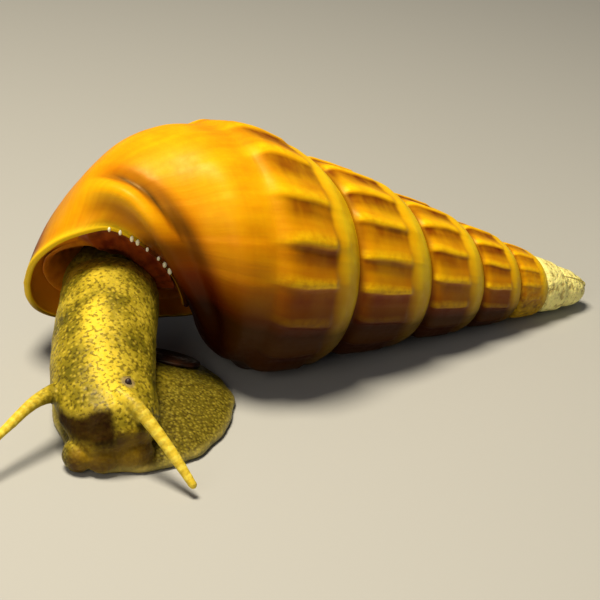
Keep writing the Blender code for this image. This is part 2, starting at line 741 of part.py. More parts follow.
body_grown = make_body()
operculum_grown = make_operculum("operculum_cutter", GAP)
make_operculum("operculum")
make_foot((body_grown, operculum_grown))
make_tentacles(body_grown)
make_eyes(body_grown)
make_mantle(RIM_POINTS)
bpy.data.objects.remove(body_grown)
bpy.data.objects.remove(operculum_grown)
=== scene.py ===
# Looks of the life-size tower snail: shell, skin, mantle, eyes and operculum, then the studio round them.
# Metres, +Z up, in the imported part's own frame: the apex points to +X and the head to -Y.

import math
from functools import partial

import bpy
import numpy as np
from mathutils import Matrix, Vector, noise
from mathutils.kdtree import KDTree


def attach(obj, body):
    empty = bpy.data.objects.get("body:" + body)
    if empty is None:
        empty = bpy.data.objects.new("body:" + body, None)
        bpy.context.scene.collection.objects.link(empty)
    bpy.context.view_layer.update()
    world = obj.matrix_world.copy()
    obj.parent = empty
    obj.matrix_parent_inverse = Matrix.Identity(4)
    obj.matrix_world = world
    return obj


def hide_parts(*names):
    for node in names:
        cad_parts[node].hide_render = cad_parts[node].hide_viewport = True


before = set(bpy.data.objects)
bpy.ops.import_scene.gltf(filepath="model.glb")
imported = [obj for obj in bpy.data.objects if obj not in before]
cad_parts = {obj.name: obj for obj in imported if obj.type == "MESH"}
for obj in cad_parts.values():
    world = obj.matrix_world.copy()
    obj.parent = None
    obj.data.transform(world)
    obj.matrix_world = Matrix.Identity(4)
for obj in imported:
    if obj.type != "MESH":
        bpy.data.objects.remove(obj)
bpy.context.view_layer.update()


# Shell: one horny, ribbed tube wound to the right round its axis, closed at the worn apex.
# It is laid as a sheet of growth lines, one whorl on the next, and merged along the suture,
# then the last whorl's base runs on to the inner lip, and the lip turns into the hollow.
MM = 0.001
APEX_POINT = np.array((79.0, 8.0, 0.55)) * MM
SHELL_TILT = math.radians(12.4)
SHELL_AXIS = np.array((math.cos(SHELL_TILT), 0.0, -math.sin(SHELL_TILT)))
SHELL_UP = np.array((math.sin(SHELL_TILT), 0.0, math.cos(SHELL_TILT)))
SHELL_FRONT = np.array((0.0, -1.0, 0.0))
CONE_SLOPE = 0.21
WHORL_GROWTH = 1.332
LAST_WHORL_GROWTH = 1.25
LAST_WHORL_DEPTH = 76.0 * MM
MOUTH_ANGLE = math.radians(236.0)
MOUTH_SUTURE_RADIUS = 12.75 * MM
ROWS_PER_TURN = 240
TURNS = 6.5
APEX_TIP = 7.9 * MM
APEX_LOOPS = 10
APEX_LOOP_WIDTH = 0.2 * MM

# Whorl outline: share of the way from suture to suture, radius over the suture's radius,
# and the same radius on the last half turn, whose shoulder is softer.
WHORL_OUTLINE = (
    (0.0, 1.0, 1.0), (0.07, 1.10, 1.06), (0.2, 1.19, 1.14), (0.45, 1.25, 1.23),
    (0.72, 1.30, 1.30), (0.92, 1.30, 1.30), (1.0, 1.25, 1.25),
)
WHORL_FULLNESS = 1.25
SHOULDER_TURNS = (0.45, 0.75)
SHOULDER_COLUMNS = 22
SIDE_COLUMNS = 24
SHOULDER_END = 0.4
# The cord below the suture and the groove under it: place, width and height as shares.
CORD = (0.20, 0.09, 0.009)
CORD_GROOVE = (0.36, 0.03, -0.005)
CORD_START = (0.0, 0.05)
# Growth waves: radians to a rib, start, and drift across the whorl.
GROWTH_WAVES = ((23.0, 0.0, 0.0), (41.0, 2.0, 2.0))
GROWTH_HEIGHT = 0.0012
GROWTH_START = (0.0, 0.1)
GROWTH_END = (1.0, 0.9)

# Base of the last whorl at angles round the axis: radius and depth in mm.
BASE_OUTLINES = (
    (-124.0, ((12.2, 62.0), (11.5, 63.4), (10.8, 64.7), (10.2, 65.6), (9.8, 66.2))),
    (-60.0, ((12.9, 66.2), (11.2, 68.4), (9.4, 69.8), (7.5, 70.8), (6.0, 71.5))),
    (0.0, ((13.4, 70.2), (10.6, 73.2), (9.2, 75.6), (7.8, 77.6), (4.0, 77.0))),
    (45.0, ((13.6, 72.8), (10.6, 76.6), (9.4, 79.4), (8.1, 82.0), (3.4, 82.6))),
    (100.0, ((14.2, 75.2), (12.4, 79.2), (10.2, 82.4), (7.4, 85.0), (0.3, 86.8))),
    (150.0, ((15.0, 75.8), (13.2, 79.4), (10.3, 82.6), (7.1, 85.4), (0.1, 88.8))),
    (236.0, ((17.4, 78.6), (17.6, 81.6), (16.4, 84.4), (14.0, 86.7), (10.8, 88.4))),
)
LAST_TURN_START = BASE_OUTLINES[0][0]
BASE_COLUMNS = 36
BASE_WIDTH = 22.0 * MM
BASE_START = (0.0, 0.1)
# Past this angle the inner lip crosses the axis in one line: angle, distance from the axis, depth in mm.
LIP_LINE_ANGLE = 60.0
LIP_LINE = (
    (60.0, 2.8, 84.0), (100.0, 0.5, 87.0), (150.0, -2.6, 88.9), (190.0, -6.2, 89.5), (236.0, -10.8, 88.4),
)
LIP_DRIFT = 3
LIP_ROUNDING = 16

# Ribs: turns back from the mouth, ribs counted that far. Each is steep on the side away from the mouth.
RIB_COUNT = (
    (0.0, 0.0), (0.536, 8.28), (0.704, 11.28), (1.484, 24.28), (1.712, 28.28), (2.5, 41.28),
    (2.692, 44.28), (3.568, 57.28), (3.708, 59.28), (4.556, 71.28), (4.684, 73.28), (8.0, 116.4),
)
RIB_HEIGHT = 0.05
RIB_STEP = 0.17
RIB_VALLEY_END = 0.44
RIB_SEED = 5
RIB_STRENGTHS = (0.72, 1.15)
RIB_STRENGTH_COUNT = 120
RIB_ON_CORD = 0.25
# No rib is quite straight: size of a wave, its radians across the whorl and from rib to rib, start.
RIB_WAVES = ((0.03, 4.0, 4.1, 2.0), (0.018, 11.0, -2.9, 1.0))
# Where ribs start and end, as shares of the way from suture to suture.
RIB_START = (0.31, 0.40)
RIB_START_ON_CORD = (0.12, 0.22)
RIB_END = (1.0, 0.94)
RIB_END_ON_BASE = (1.14, 0.70)
# They start at this suture radius, run on over the base in the last turn and grow weak towards the mouth.
RIB_RADII = (2.2 * MM, 4.4 * MM)
RIB_BASE_TURNS = (1.10, 0.90)
RIB_MOUTH_TURNS = (0.0, 0.10)
RIB_WEAK_TURNS = (0.22, 0.47)
RIB_WEAK_SHARE = 0.45

# The fold beside the inner lip, as lengths along the shell from the lip's edge, and its heights.
FOLD_RIDGE = (5.2 * MM, 1.2 * MM, 0.42 * MM)
FOLD_GROOVE = (7.4 * MM, 0.95 * MM, -0.62 * MM)
FOLD_VALLEY = (2.6 * MM, 1.5 * MM, -0.35 * MM)
FOLD_ANGLES = ((-70.0, 0.0), (-20.0, 1.0), (75.0, 1.0), (125.0, 0.0))
FOLD_START = (0.0, 1.2 * MM)

LIP_THICKNESS = 0.9 * MM
LIP_BULGE = 0.4 * LIP_THICKNESS
LIP_LOOPS = 6
HOLLOW_RADIUS = 9.2 * MM
HOLLOW_DEPTH = 75.5 * MM
HOLLOW_HALF_LONG = 11.2 * MM
HOLLOW_HALF_SHORT = 5.7 * MM
HOLLOW_LEAN = math.radians(-14.0)
HOLLOW_TURN = math.radians(95.0)
HOLLOW_BLEND = HOLLOW_TURN * 0.28
HOLLOW_LOOPS = 16
HOLLOW_START = 0.2
# The hollow's wall and lip take this share of the lower side's painted shade and stain.
HOLLOW_SHADE = 0.9
SHEET_MERGE = 1e-6


def smooth_value(keys, values, where):
    """Values at where on the smooth curve that passes through values at keys."""
    keys = np.asarray(keys, float)
    values = np.asarray(values, float)
    slopes = np.gradient(values, keys, axis=0)
    here = np.clip(np.asarray(where, float), keys[0], keys[-1])
    left = np.clip(np.searchsorted(keys, here, side="right") - 1, 0, len(keys) - 2)
    width = keys[left + 1] - keys[left]
    t = (here - keys[left]) / width
    if values.ndim > 1:
        t = t[..., None]
        width = width[..., None]
    return (
        (2 * t**3 - 3 * t**2 + 1) * values[left]
        + (t**3 - 2 * t**2 + t) * width * slopes[left]
        + (3 * t**2 - 2 * t**3) * values[left + 1]
        + (t**3 - t**2) * width * slopes[left + 1]
    )


def ease(values, start=0.0, end=1.0):
    """From 0 at start to 1 at end, softly at both."""
    share = np.clip((values - start) / (end - start), 0.0, 1.0)
    return share * share * (3.0 - 2.0 * share)


def mounds(where, *shapes):
    """Sum of soft ridges and grooves, each a place, a width and a height."""
    return sum(height * np.exp(-(((where - place) / width) ** 2)) for place, width, height in shapes)


def radial(angle):
    """Unit vectors outwards from the shell's axis."""
    return np.cos(angle)[..., None] * SHELL_FRONT + np.sin(angle)[..., None] * SHELL_UP


def shell_point(angle, radius, depth):
    angle, radius, depth = np.broadcast_arrays(angle, radius, depth)
    return APEX_POINT - SHELL_AXIS * depth[..., None] + radial(angle) * radius[..., None]


def turns_back(angle):
    return (MOUTH_ANGLE - angle) / math.tau


def suture_radius(angle):
    back = turns_back(angle)
    early = math.log(WHORL_GROWTH)
    late = 2 * math.log(LAST_WHORL_GROWTH) - early
    old = MOUTH_SUTURE_RADIUS / LAST_WHORL_GROWTH * WHORL_GROWTH ** (1.0 - back)
    new = MOUTH_SUTURE_RADIUS * np.exp(-late * back - (early - late) * back**2 / 2)
    return np.where(back > 1.0, old, new)


def next_suture_radius(angle):
    grown = suture_radius(angle + math.tau)
    wound = angle + math.tau <= MOUTH_ANGLE + 1e-9
    return np.where(wound, grown, suture_radius(angle) * LAST_WHORL_GROWTH)


def rib_count(angle):
    return np.interp(turns_back(angle), *zip(*RIB_COUNT))


def rib_place(angle, across):
    """Ribs counted to a place on the whorl's side."""
    count = rib_count(angle)
    waves = (size * np.sin(over * across + change * count + start) for size, over, change, start in RIB_WAVES)
    return sum(waves, count)


def rib_window(angle, across, cord_part=0.0):
    """Where the ribs stand: from the cord to the lower suture, or on to the base on the last whorl."""
    back = turns_back(angle)
    start = cord_part * ease(across, *RIB_START_ON_CORD) + (1.0 - cord_part) * ease(across, *RIB_START)
    last = ease(back, *RIB_BASE_TURNS)
    window = start * (ease(across, *RIB_END) * (1.0 - last) + ease(across, *RIB_END_ON_BASE) * last)
    window *= ease(suture_radius(angle), *RIB_RADII)
    grown = RIB_WEAK_SHARE + (1.0 - RIB_WEAK_SHARE) * ease(back, *RIB_WEAK_TURNS)
    return window * ease(back, *RIB_MOUTH_TURNS) * grown


def rib_relief(angle, across):
    """Share of the radius that the ribs add; a quarter of their height carries on over the cord."""
    count = rib_place(angle, across)
    phase = count % 1.0
    strength = np.random.default_rng(RIB_SEED).uniform(*RIB_STRENGTHS, RIB_STRENGTH_COUNT)
    size = strength[np.floor(count + 0.5).astype(int)]
    profile = np.maximum(1.0 - ease(phase, 0.0, RIB_STEP), ease(phase, RIB_VALLEY_END, 1.0))
    return RIB_HEIGHT * profile * size * rib_window(angle, across, RIB_ON_CORD)


def whorl_sheet(angle, across):
    """Points on the whorls' side, with cord, ribs and growth waves."""
    upper = suture_radius(angle)
    lower = next_suture_radius(angle)
    shares, full, soft = zip(*WHORL_OUTLINE)
    fullness = np.interp(turns_back(angle), SHOULDER_TURNS, (0.0, 1.0))
    swell = smooth_value(shares, full, across) * fullness
    swell = swell + smooth_value(shares, soft, across) * (1.0 - fullness)
    swell = swell * (1.0 + across * (lower / upper / full[-1] - 1.0))
    cord = mounds(across, CORD, CORD_GROOVE) * ease(across, *CORD_START)
    count = rib_count(angle)
    growth = sum(np.sin(count * waves + start + across * drift) for waves, start, drift in GROWTH_WAVES)
    growth = GROWTH_HEIGHT * growth * ease(across, *GROWTH_START) * ease(across, *GROWTH_END)
    radius = upper * (swell + rib_relief(angle, across) + cord + growth)
    depth = (upper + (lower - upper) * across) / CONE_SLOPE
    return shell_point(angle, radius, depth)


def lip_line(row_angles):
    """The inner lip at each angle, as radius, depth and sidestep, rounded where its two curves meet."""
    degrees = np.degrees(row_angles)
    keys = [outline[0] for outline in BASE_OUTLINES]
    radius, depth = smooth_value(keys, [outline[1][-1] for outline in BASE_OUTLINES], degrees).T * MM
    lip_angles, distances, depths = zip(*LIP_LINE)
    distance = smooth_value(lip_angles, distances, degrees) * MM
    turn = row_angles - (MOUTH_ANGLE - math.pi)
    past = degrees > LIP_LINE_ANGLE
    radius = np.where(past, distance * np.cos(turn), radius)
    side = np.where(past, -distance * np.sin(turn), 0.0)
    depth = np.where(past, smooth_value(lip_angles, depths, degrees) * MM, depth)
    points = shell_point(row_angles, radius, depth) + radial(row_angles + math.pi / 2) * side[:, None]
    reach = np.arange(-LIP_ROUNDING, LIP_ROUNDING + 1)
    weights = np.cos(reach / (LIP_ROUNDING + 1) * math.pi / 2) ** 2
    padded = np.pad(points, ((LIP_ROUNDING, LIP_ROUNDING), (0, 0)), "reflect", reflect_type="odd")
    rounded = sum(weight * padded[start : start + len(points)] for start, weight in enumerate(weights))
    offset = rounded / weights.sum() - APEX_POINT
    outward = (offset * radial(row_angles)).sum(axis=1)
    sideways = (offset * radial(row_angles + math.pi / 2)).sum(axis=1)
    return np.stack([outward, offset @ -SHELL_AXIS, sideways], axis=1)


def base_line(angle, end):
    """Points of the base at one angle, from the suture to the inner lip, and their lengths from the lip."""
    keys = [outline[0] for outline in BASE_OUTLINES]
    lower = float(next_suture_radius(np.array(angle)))
    inner = smooth_value(keys, [outline[1][:-1] for outline in BASE_OUTLINES], math.degrees(angle)) * MM
    route = np.vstack([[(lower, lower / CONE_SLOPE)], inner, [end[:2]]])
    along = np.concatenate([[0.0], np.cumsum(np.linalg.norm(np.diff(route, axis=0), axis=1))])
    share = np.linspace(0.0, 1.0, BASE_COLUMNS + 1)
    radius, depth = smooth_value(along, route, share * along[-1]).T
    sideways = radial(np.array(angle + math.pi / 2)) * end[2] * share[:, None] ** LIP_DRIFT
    return shell_point(np.array(angle), radius, depth) + sideways, (1.0 - share) * along[-1]


def raised(points, heights):
    """Points of a sheet moved along its outward normals."""
    down = np.gradient(points, axis=0)
    right = np.gradient(points, axis=1)
    normal = np.cross(right, down)
    normal /= np.maximum(np.linalg.norm(normal, axis=2, keepdims=True), 1e-12)
    outward = points - (APEX_POINT - SHELL_AXIS * LAST_WHORL_DEPTH)
    normal *= np.sign((normal * outward).sum(axis=2, keepdims=True).mean())
    return points + normal * heights[..., None]


def deselect():
    for item in bpy.context.selected_objects:
        item.select_set(False)


def mark_points(piece, label, values):
    """Gives every point of a piece a value that its material reads."""
    layer = piece.data.attributes.new(label, "FLOAT", "POINT")
    layer.data.foreach_set("value", np.asarray(values, np.float32))


def lay_grid(name, points, maps=None, tags=None):
    """A grid primitive with its corners laid on points[row, column], its own UV maps and point attributes."""
    rows, columns = points.shape[:2]
    deselect()
    bpy.ops.mesh.primitive_grid_add(x_subdivisions=columns - 1, y_subdivisions=rows - 1, calc_uvs=False)
    piece = bpy.context.object
    piece.name = name
    piece.data.vertices.foreach_set("co", points.reshape(-1).astype(np.float32))
    corners = np.empty(len(piece.data.loops), np.int32)
    piece.data.loops.foreach_get("vertex_index", corners)
    for label, ways in (maps or {}).items():
        flat = np.stack([np.broadcast_to(way, (rows, columns)) for way in ways], axis=2).reshape(-1, 2)
        layer = piece.data.uv_layers.new(name=label)
        layer.data.foreach_set("uv", flat[corners].reshape(-1).astype(np.float32))
    for label, values in (tags or {}).items():
        mark_points(piece, label, np.broadcast_to(values, (rows, columns)).reshape(-1))
    return piece


def join_and_merge(pieces, distance):
    """Joins pieces into the first, merges their shared borders and turns the faces outwards."""
    deselect()
    for piece in pieces:
        piece.select_set(True)
    bpy.context.view_layer.objects.active = pieces[0]
    bpy.ops.object.join()
    bpy.ops.object.mode_set(mode="EDIT")
    bpy.ops.mesh.select_all(action="SELECT")
    bpy.ops.mesh.remove_doubles(threshold=distance)
    bpy.ops.mesh.normals_make_consistent(inside=False)
    bpy.ops.object.mode_set(mode="OBJECT")
    bpy.ops.object.shade_smooth()
    return bpy.context.object


rows = round(TURNS * ROWS_PER_TURN)
angles = MOUTH_ANGLE - math.tau * (rows - np.arange(rows + 1)) / ROWS_PER_TURN
shoulder = np.linspace(0.0, SHOULDER_END, SHOULDER_COLUMNS, endpoint=False)
across = np.concatenate([shoulder, np.linspace(SHOULDER_END, 1.0, SIDE_COLUMNS)])
row_angle, column_across = np.meshgrid(angles, across, indexing="ij")
side_points = whorl_sheet(row_angle, column_across)
side_points[:-ROWS_PER_TURN, -1] = side_points[ROWS_PER_TURN:, 0]
along_whorl = np.concatenate([[0.0], np.cumsum(suture_radius(angles[1:]) * math.tau / ROWS_PER_TURN)])
side_width = (next_suture_radius(angles) - suture_radius(angles)) / CONE_SLOPE

last_start = rows - ROWS_PER_TURN
last_angles = angles[last_start:]
last_degrees = np.degrees(last_angles)[:, None]
lines = [base_line(angle, end) for angle, end in zip(last_angles, lip_line(last_angles))]
base_points = np.array([line[0] for line in lines])
lip_lengths = np.array([line[1] for line in lines])
base_points[:, 0] = side_points[last_start:, -1]
fold_share = np.interp(last_degrees, *zip(*FOLD_ANGLES))
fold = mounds(lip_lengths, FOLD_RIDGE, FOLD_GROOVE, FOLD_VALLEY)
fold *= ease(fold_share) * ease(lip_lengths, *FOLD_START)
base_share = np.linspace(0.0, 1.0, BASE_COLUMNS + 1)
base_across = 1.0 + base_share * (lip_lengths[:, :1] / side_width[last_start:, None])
ribs_on_base = rib_relief(last_angles[:, None], base_across) * suture_radius(last_angles)[:, None]
base_relief = fold + ribs_on_base - ribs_on_base[:, :1] * (1.0 - base_share)
base_points = raised(base_points, base_relief * ease(base_share, *BASE_START))

rim = [base_points[0], base_points[1:, -1], base_points[-1, -2::-1], side_points[-1, -2:0:-1]]
rim = np.concatenate(rim)
mouth_forward = radial(np.array(MOUTH_ANGLE + math.pi / 2))


def hollow_frame(turn):
    """Centre and half axes of the hollow's oval, turned back from the mouth."""
    angle = MOUTH_ANGLE - np.asarray(turn, float)
    scale = (suture_radius(angle) / MOUTH_SUTURE_RADIUS)[..., None]
    outward = radial(angle)
    centre = APEX_POINT - SHELL_AXIS * HOLLOW_DEPTH * scale + outward * HOLLOW_RADIUS * scale
    long_way = math.cos(HOLLOW_LEAN) * -SHELL_AXIS + math.sin(HOLLOW_LEAN) * outward
    short_way = math.cos(HOLLOW_LEAN) * outward - math.sin(HOLLOW_LEAN) * -SHELL_AXIS
    return centre, long_way * HOLLOW_HALF_LONG * scale, short_way * HOLLOW_HALF_SHORT * scale


def towards(points, centre, distance):
    offset = centre - points
    return points + offset / np.linalg.norm(offset, axis=-1, keepdims=True) * np.asarray(distance)[..., None]


def hollow_loop(turn, inset=0.0):
    """The hollow's wall behind each point of the rim; turn may differ from point to point."""
    centre, long_half, short_half = hollow_frame(0.0)
    offset = rim - centre
    short_place = offset @ short_half / (short_half @ short_half)
    place = np.arctan2(short_place, offset @ long_half / (long_half @ long_half))
    turn = np.broadcast_to(np.asarray(turn, float), len(rim))
    deep_centre, deep_long, deep_short = hollow_frame(turn)
    deep = deep_centre + deep_long * np.cos(place)[:, None] + deep_short * np.sin(place)[:, None]
    blend = ease(turn, 0.0, HOLLOW_BLEND)[:, None]
    inset = np.broadcast_to(np.asarray(inset, float), len(rim))
    lip = towards(rim, centre, LIP_THICKNESS + inset)
    lip = lip - mouth_forward * (turn * HOLLOW_RADIUS)[:, None] * (1.0 - blend)
    return lip * (1.0 - blend) + towards(deep, deep_centre, inset) * blend


hollow_rows = []
for step in range(LIP_LOOPS + 1):
    swing = math.pi * step / LIP_LOOPS
    inward = LIP_THICKNESS * (1.0 - math.cos(swing)) / 2
    loop = towards(rim, hollow_frame(0.0)[0], inward)
    hollow_rows.append(loop + mouth_forward * LIP_BULGE * math.sin(swing))
for step in range(1, HOLLOW_LOOPS + 1):
    hollow_rows.append(hollow_loop(HOLLOW_TURN * step / HOLLOW_LOOPS))
hollow_rows.append(np.broadcast_to(hollow_frame(HOLLOW_TURN)[0], rim.shape))
hollow_points = np.array(hollow_rows)
hollow_points = np.concatenate([hollow_points, hollow_points[:, :1]], axis=1)
inside = np.zeros(len(hollow_rows))
inside[LIP_LOOPS - 1 :] = np.linspace(HOLLOW_START, 1.0, len(hollow_rows) - LIP_LOOPS + 1)

# The worn apex is a low dome over the first turn's opening.
opening = np.concatenate([side_points[: ROWS_PER_TURN + 1, 0], side_points[0, -2::-1]])
opening = opening[:, None, :]
tip = APEX_POINT - SHELL_AXIS * APEX_TIP
dome_rise = np.linspace(0.0, math.pi / 2, APEX_LOOPS + 1)
height = ((opening - tip) @ SHELL_AXIS)[..., None] * SHELL_AXIS
flat = opening - tip - height
dome = tip + flat * np.cos(dome_rise)[None, :, None] + height * (1.0 - np.sin(dome_rise))[None, :, None]
dome_along = np.arange(len(dome))[:, None] * APEX_LOOP_WIDTH

for sheet in (side_points, base_points, hollow_points, dome):
    sheet[..., 2] = np.maximum(sheet[..., 2], 0.0)

# Marks for the colours. From this sine of the angle down, the shell's lower side darkens with painted shade
# and some stain, it is worn from these turns back, and painted shade lies brown along the suture of every
# whorl that has another below it.
SHADE_AND_STAIN_TOP = 0.80
SHADE_AND_STAIN_REACH = 1.15
WORN_TURNS = (3.9, 6.2)
SUTURE_SHADE = (0.90, 1.0)
SUTURE_SHADE_TURNS = (0.98, 1.02)
# The lip's last millimetre is yellow, dimmed by painted shade where it stands low.
LIP_BAND = 0.8 * MM
INNER_LIP_BAND = 0.5 * MM
LIP_YELLOW_ANGLES = (14.0, 44.0)
LIP_YELLOW_HEIGHTS = (5.0 * MM, 9.0 * MM)
LIP_LOW_YELLOW = 0.2
# Painted shade beside the neck darkens the shell from the inner lip to past the groove, and along the groove
# beyond.
NECK_SIDE_START = (-110.0, -70.0)
NECK_SIDE_END = (42.0, 16.0)
NECK_SIDE_REACH = (10.6 * MM, 8.0 * MM)
GROOVE_SHADE = (8.4 * MM, 1.8 * MM, 1.0)
GROOVE_SHADE_ANGLES = (70.0, 25.0)
GROOVE_SHADE_LEAST = 0.65
SHELL_MARKS = ("rib_window", "base", "inside", "fold", "lip", "under")


# Share of painted shade, with some stain, on the shell's lower side.
def underside_shade_and_stain(angle):
    return np.clip((SHADE_AND_STAIN_TOP - np.sin(angle)) / SHADE_AND_STAIN_REACH, 0.0, 1.0)


def lip_yellow(degrees, points):
    high = ease(points[..., 2], *LIP_YELLOW_HEIGHTS)
    return ease(degrees, *LIP_YELLOW_ANGLES) * (LIP_LOW_YELLOW + (1.0 - LIP_LOW_YELLOW) * high)


worn = ease(turns_back(angles), *WORN_TURNS)
# Painted shade in the suture of every whorl that has another below it.
suture_shade = ease(column_across, *SUTURE_SHADE) * ease(turns_back(row_angle), *SUTURE_SHADE_TURNS)
mouth_distance = (MOUTH_ANGLE - row_angle) * suture_radius(row_angle) * WHORL_FULLNESS
side_lip = mounds(mouth_distance, (0.0, LIP_BAND, LIP_LOW_YELLOW))
base_offset = base_points - APEX_POINT
off_axis = base_offset - (base_offset @ SHELL_AXIS)[..., None] * SHELL_AXIS
mouth_distance = (MOUTH_ANGLE - last_angles)[:, None] * np.linalg.norm(off_axis, axis=2)
inner_lip = mounds(lip_lengths, (0.0, INNER_LIP_BAND, 1.0))
base_lip = np.maximum(inner_lip, mounds(mouth_distance, (0.0, LIP_BAND, 1.0)))
base_lip *= lip_yellow(last_degrees, base_points)
rim_angle = np.radians(LAST_TURN_START + (np.arange(len(rim)) - BASE_COLUMNS) * 360.0 / ROWS_PER_TURN)
rim_lip = lip_yellow(np.degrees(np.append(rim_angle, rim_angle[0])), hollow_points)
# Painted shade beside the neck, along the groove and in the fold's hollows.
neck_side_shade = ease(last_degrees, *NECK_SIDE_END) * ease(last_degrees, *NECK_SIDE_START)
neck_side_shade = ease(lip_lengths, *NECK_SIDE_REACH) * neck_side_shade
groove_shade_band = mounds(lip_lengths, GROOVE_SHADE) * ease(fold_share)
groove_shade_band *= GROOVE_SHADE_LEAST + (1.0 - GROOVE_SHADE_LEAST) * ease(last_degrees, *GROOVE_SHADE_ANGLES)
fold_painted_shade = np.maximum(np.maximum(fold / FOLD_GROOVE[2], groove_shade_band), neck_side_shade)

unmarked = dict.fromkeys(SHELL_MARKS, 0.0)
side_sheet = lay_grid(
    "shell", side_points,
    {"ribs": (rib_place(row_angle, column_across), column_across),
     "growth": (along_whorl[:, None], column_across * side_width[:, None]),
     "wear_and_suture_shade": (worn[:, None], suture_shade)},
    unmarked | {"rib_window": rib_window(row_angle, column_across), "lip": side_lip,
                "under": underside_shade_and_stain(row_angle)},
)
base_sheet = lay_grid(
    "shell_base", base_points,
    {"ribs": (rib_place(last_angles[:, None], base_across), base_across),
     "growth": (along_whorl[last_start:, None], side_width[-1] + base_share[None, :] * BASE_WIDTH),
     "wear_and_suture_shade": (0.0, 0.0)},
    unmarked | {"rib_window": rib_window(last_angles[:, None], base_across), "base": base_share[None, :],
                "fold": fold_painted_shade, "lip": base_lip, "under": underside_shade_and_stain(last_angles)[:, None]},
)
hollow_sheet = lay_grid(
    "shell_hollow", hollow_points,
    {"ribs": (0.5, 1.5), "growth": (0.0, 0.0), "wear_and_suture_shade": (0.0, 0.0)},
    unmarked | {"inside": inside[:, None], "lip": rim_lip, "under": HOLLOW_SHADE},
)
apex_sheet = lay_grid(
    "shell_apex_dome", dome, {"ribs": (0.5, 0.5), "growth": (dome_along, 0.0), "wear_and_suture_shade": (1.0, 0.0)}, unmarked,
)
shell = join_and_merge([side_sheet, base_sheet, hollow_sheet, apex_sheet], SHEET_MERGE)


def linear(code):
    """An sRGB hex colour as linear values."""
    parts = [int(code[place : place + 2], 16) / 255.0 for place in (1, 3, 5)]
    return [part / 12.92 if part <= 0.04045 else ((part + 0.055) / 1.055) ** 2.4 for part in parts] + [1.0]


def fill(tree, socket, value):
    """Links a node's output to a socket, or sets the socket's own value."""
    if isinstance(value, bpy.types.NodeSocket):
        tree.links.new(value, socket)
    else:
        socket.default_value = value


def add_node(tree, kind, *values, named=None, stops=(), out=None, **settings):
    """Adds a node with its settings, fills its open inputs in order or by name, and gives back one output.

    stops are a ramp's places and colours; out names another output than the first open one.
    """
    node = tree.nodes.new("ShaderNode" + kind)
    for name, value in settings.items():
        setattr(node, name, value)
    for socket, value in zip([socket for socket in node.inputs if socket.enabled], values):
        fill(tree, socket, value)
    for name, value in (named or {}).items():
        fill(tree, node.inputs[name], value)
    if stops:
        ramp = node.color_ramp.elements
        while len(ramp) < len(stops):
            ramp.new(0.5)
        for mark, (place, colour) in zip(ramp, stops):
            mark.position = place
            mark.color = linear(colour)
    return node.outputs[out] if out else next(socket for socket in node.outputs if socket.enabled)


def set_surface(material, **values):
    """Sets or links inputs of a material's shader, with _ for each space in their names."""
    shader = material.node_tree.nodes["Principled BSDF"]
    for label, value in values.items():
        fill(material.node_tree, shader.inputs[label.replace("_", " ")], value)


def start_material(name, **values):
    """A material with its shader's fixed values set."""
    made = bpy.data.materials.new(name)
    made.use_nodes = True
    set_surface(made, **values)
    return made


# Periostracum: the horny skin over the lime of the shell, amber and a little see-through, wet and satin.
# Red-brown pigment and painted shade fill the step under each rib, a painted highlight lies on each crest, a
# yellow cord runs below the suture, and the apex is worn to lime.
periostracum = start_material(
    "periostracum_over_shell_lime", IOR=1.5, Specular_Tint=linear("#FFD268"), Subsurface_Weight=0.06,
    Subsurface_Scale=0.7 * MM, Subsurface_Radius=(1.0, 0.4, 0.05), Coat_Weight=0.06, Coat_Roughness=0.3,
)
node = partial(add_node, periostracum.node_tree)
ribs, growth, wear_and_suture_shade = (node("UVMap", uv_map=label) for label in ("ribs", "growth", "wear_and_suture_shade"))
rib_number, rib_across = (node("SeparateXYZ", ribs, out=way) for way in "XY")
worn_part, suture_part = (node("SeparateXYZ", wear_and_suture_shade, out=way) for way in "XY")
marks = {label: node("Attribute", attribute_name=label, out="Fac") for label in SHELL_MARKS}

# Noise drawn out along the whorl and over it, in mm, with its detail: growth streaks, fine growth lines,
# which are drawn 0.35 mm apart so that they show, spiral threads 0.9 mm apart, and soft blots in the brown.
GROWTH_NOISES = ((1.4, 16.0, 4.0), (0.35, 7.0, 3.0), (30.0, 0.9, 2.0), (4.0, 3.0, 2.5))
growth_noises = []
for along, over, detail in GROWTH_NOISES:
    place = node("Mapping", growth, named={"Scale": (1 / (along * MM), 1 / (over * MM), 1)})
    growth_noises.append(node("TexNoise", place, 1.0, detail))
streaks, fine_lines, threads, blots = growth_noises
# Clouds 7 mm across and pits 0.8 mm across.
where = node("TexCoord", out="Object")
clouds = node("TexNoise", where, 1 / (7 * MM), 4.0)
pits = node("TexNoise", where, 1 / (0.8 * MM), 4.0)

amber = node(
    "ValToRGB", streaks, stops=((0.28, "#C67C02"), (0.46, "#DE9A03"), (0.60, "#E8AA05"), (0.76, "#EFBC0A"))
)
cloud_tint = node("ValToRGB", clouds, stops=((0.34, "#CE8402"), (0.50, "#E4A404"), (0.64, "#F0BC08")))
thread_tint = node("ValToRGB", threads, stops=((0.40, "#C8B8A0"), (0.56, "#FFFFFF")))

# The step under a rib: phase 0 is the crest, and the brown, partly pigment and partly painted shade, fills
# the valley behind it in soft blots.
phase_shift = node("MapRange", clouds, 0.3, 0.7, -0.03, 0.03)
count = node("Math", rib_number, phase_shift, operation="ADD")
phase = node("Math", count, operation="FRACT")
brown_band = node(
    "ValToRGB", phase,
    stops=((0.05, "#000000"), (0.12, "#FFFFFF"), (0.34, "#F0F0F0"), (0.56, "#A8A8A8"), (0.82, "#000000")),
)
brown_share = node("Math", brown_band, marks["rib_window"], operation="MULTIPLY")
brown_blots = node("MapRange", blots, 0.36, 0.64, 1.0, 0.55)
brown_soft = node("Math", brown_share, brown_blots, operation="MULTIPLY")

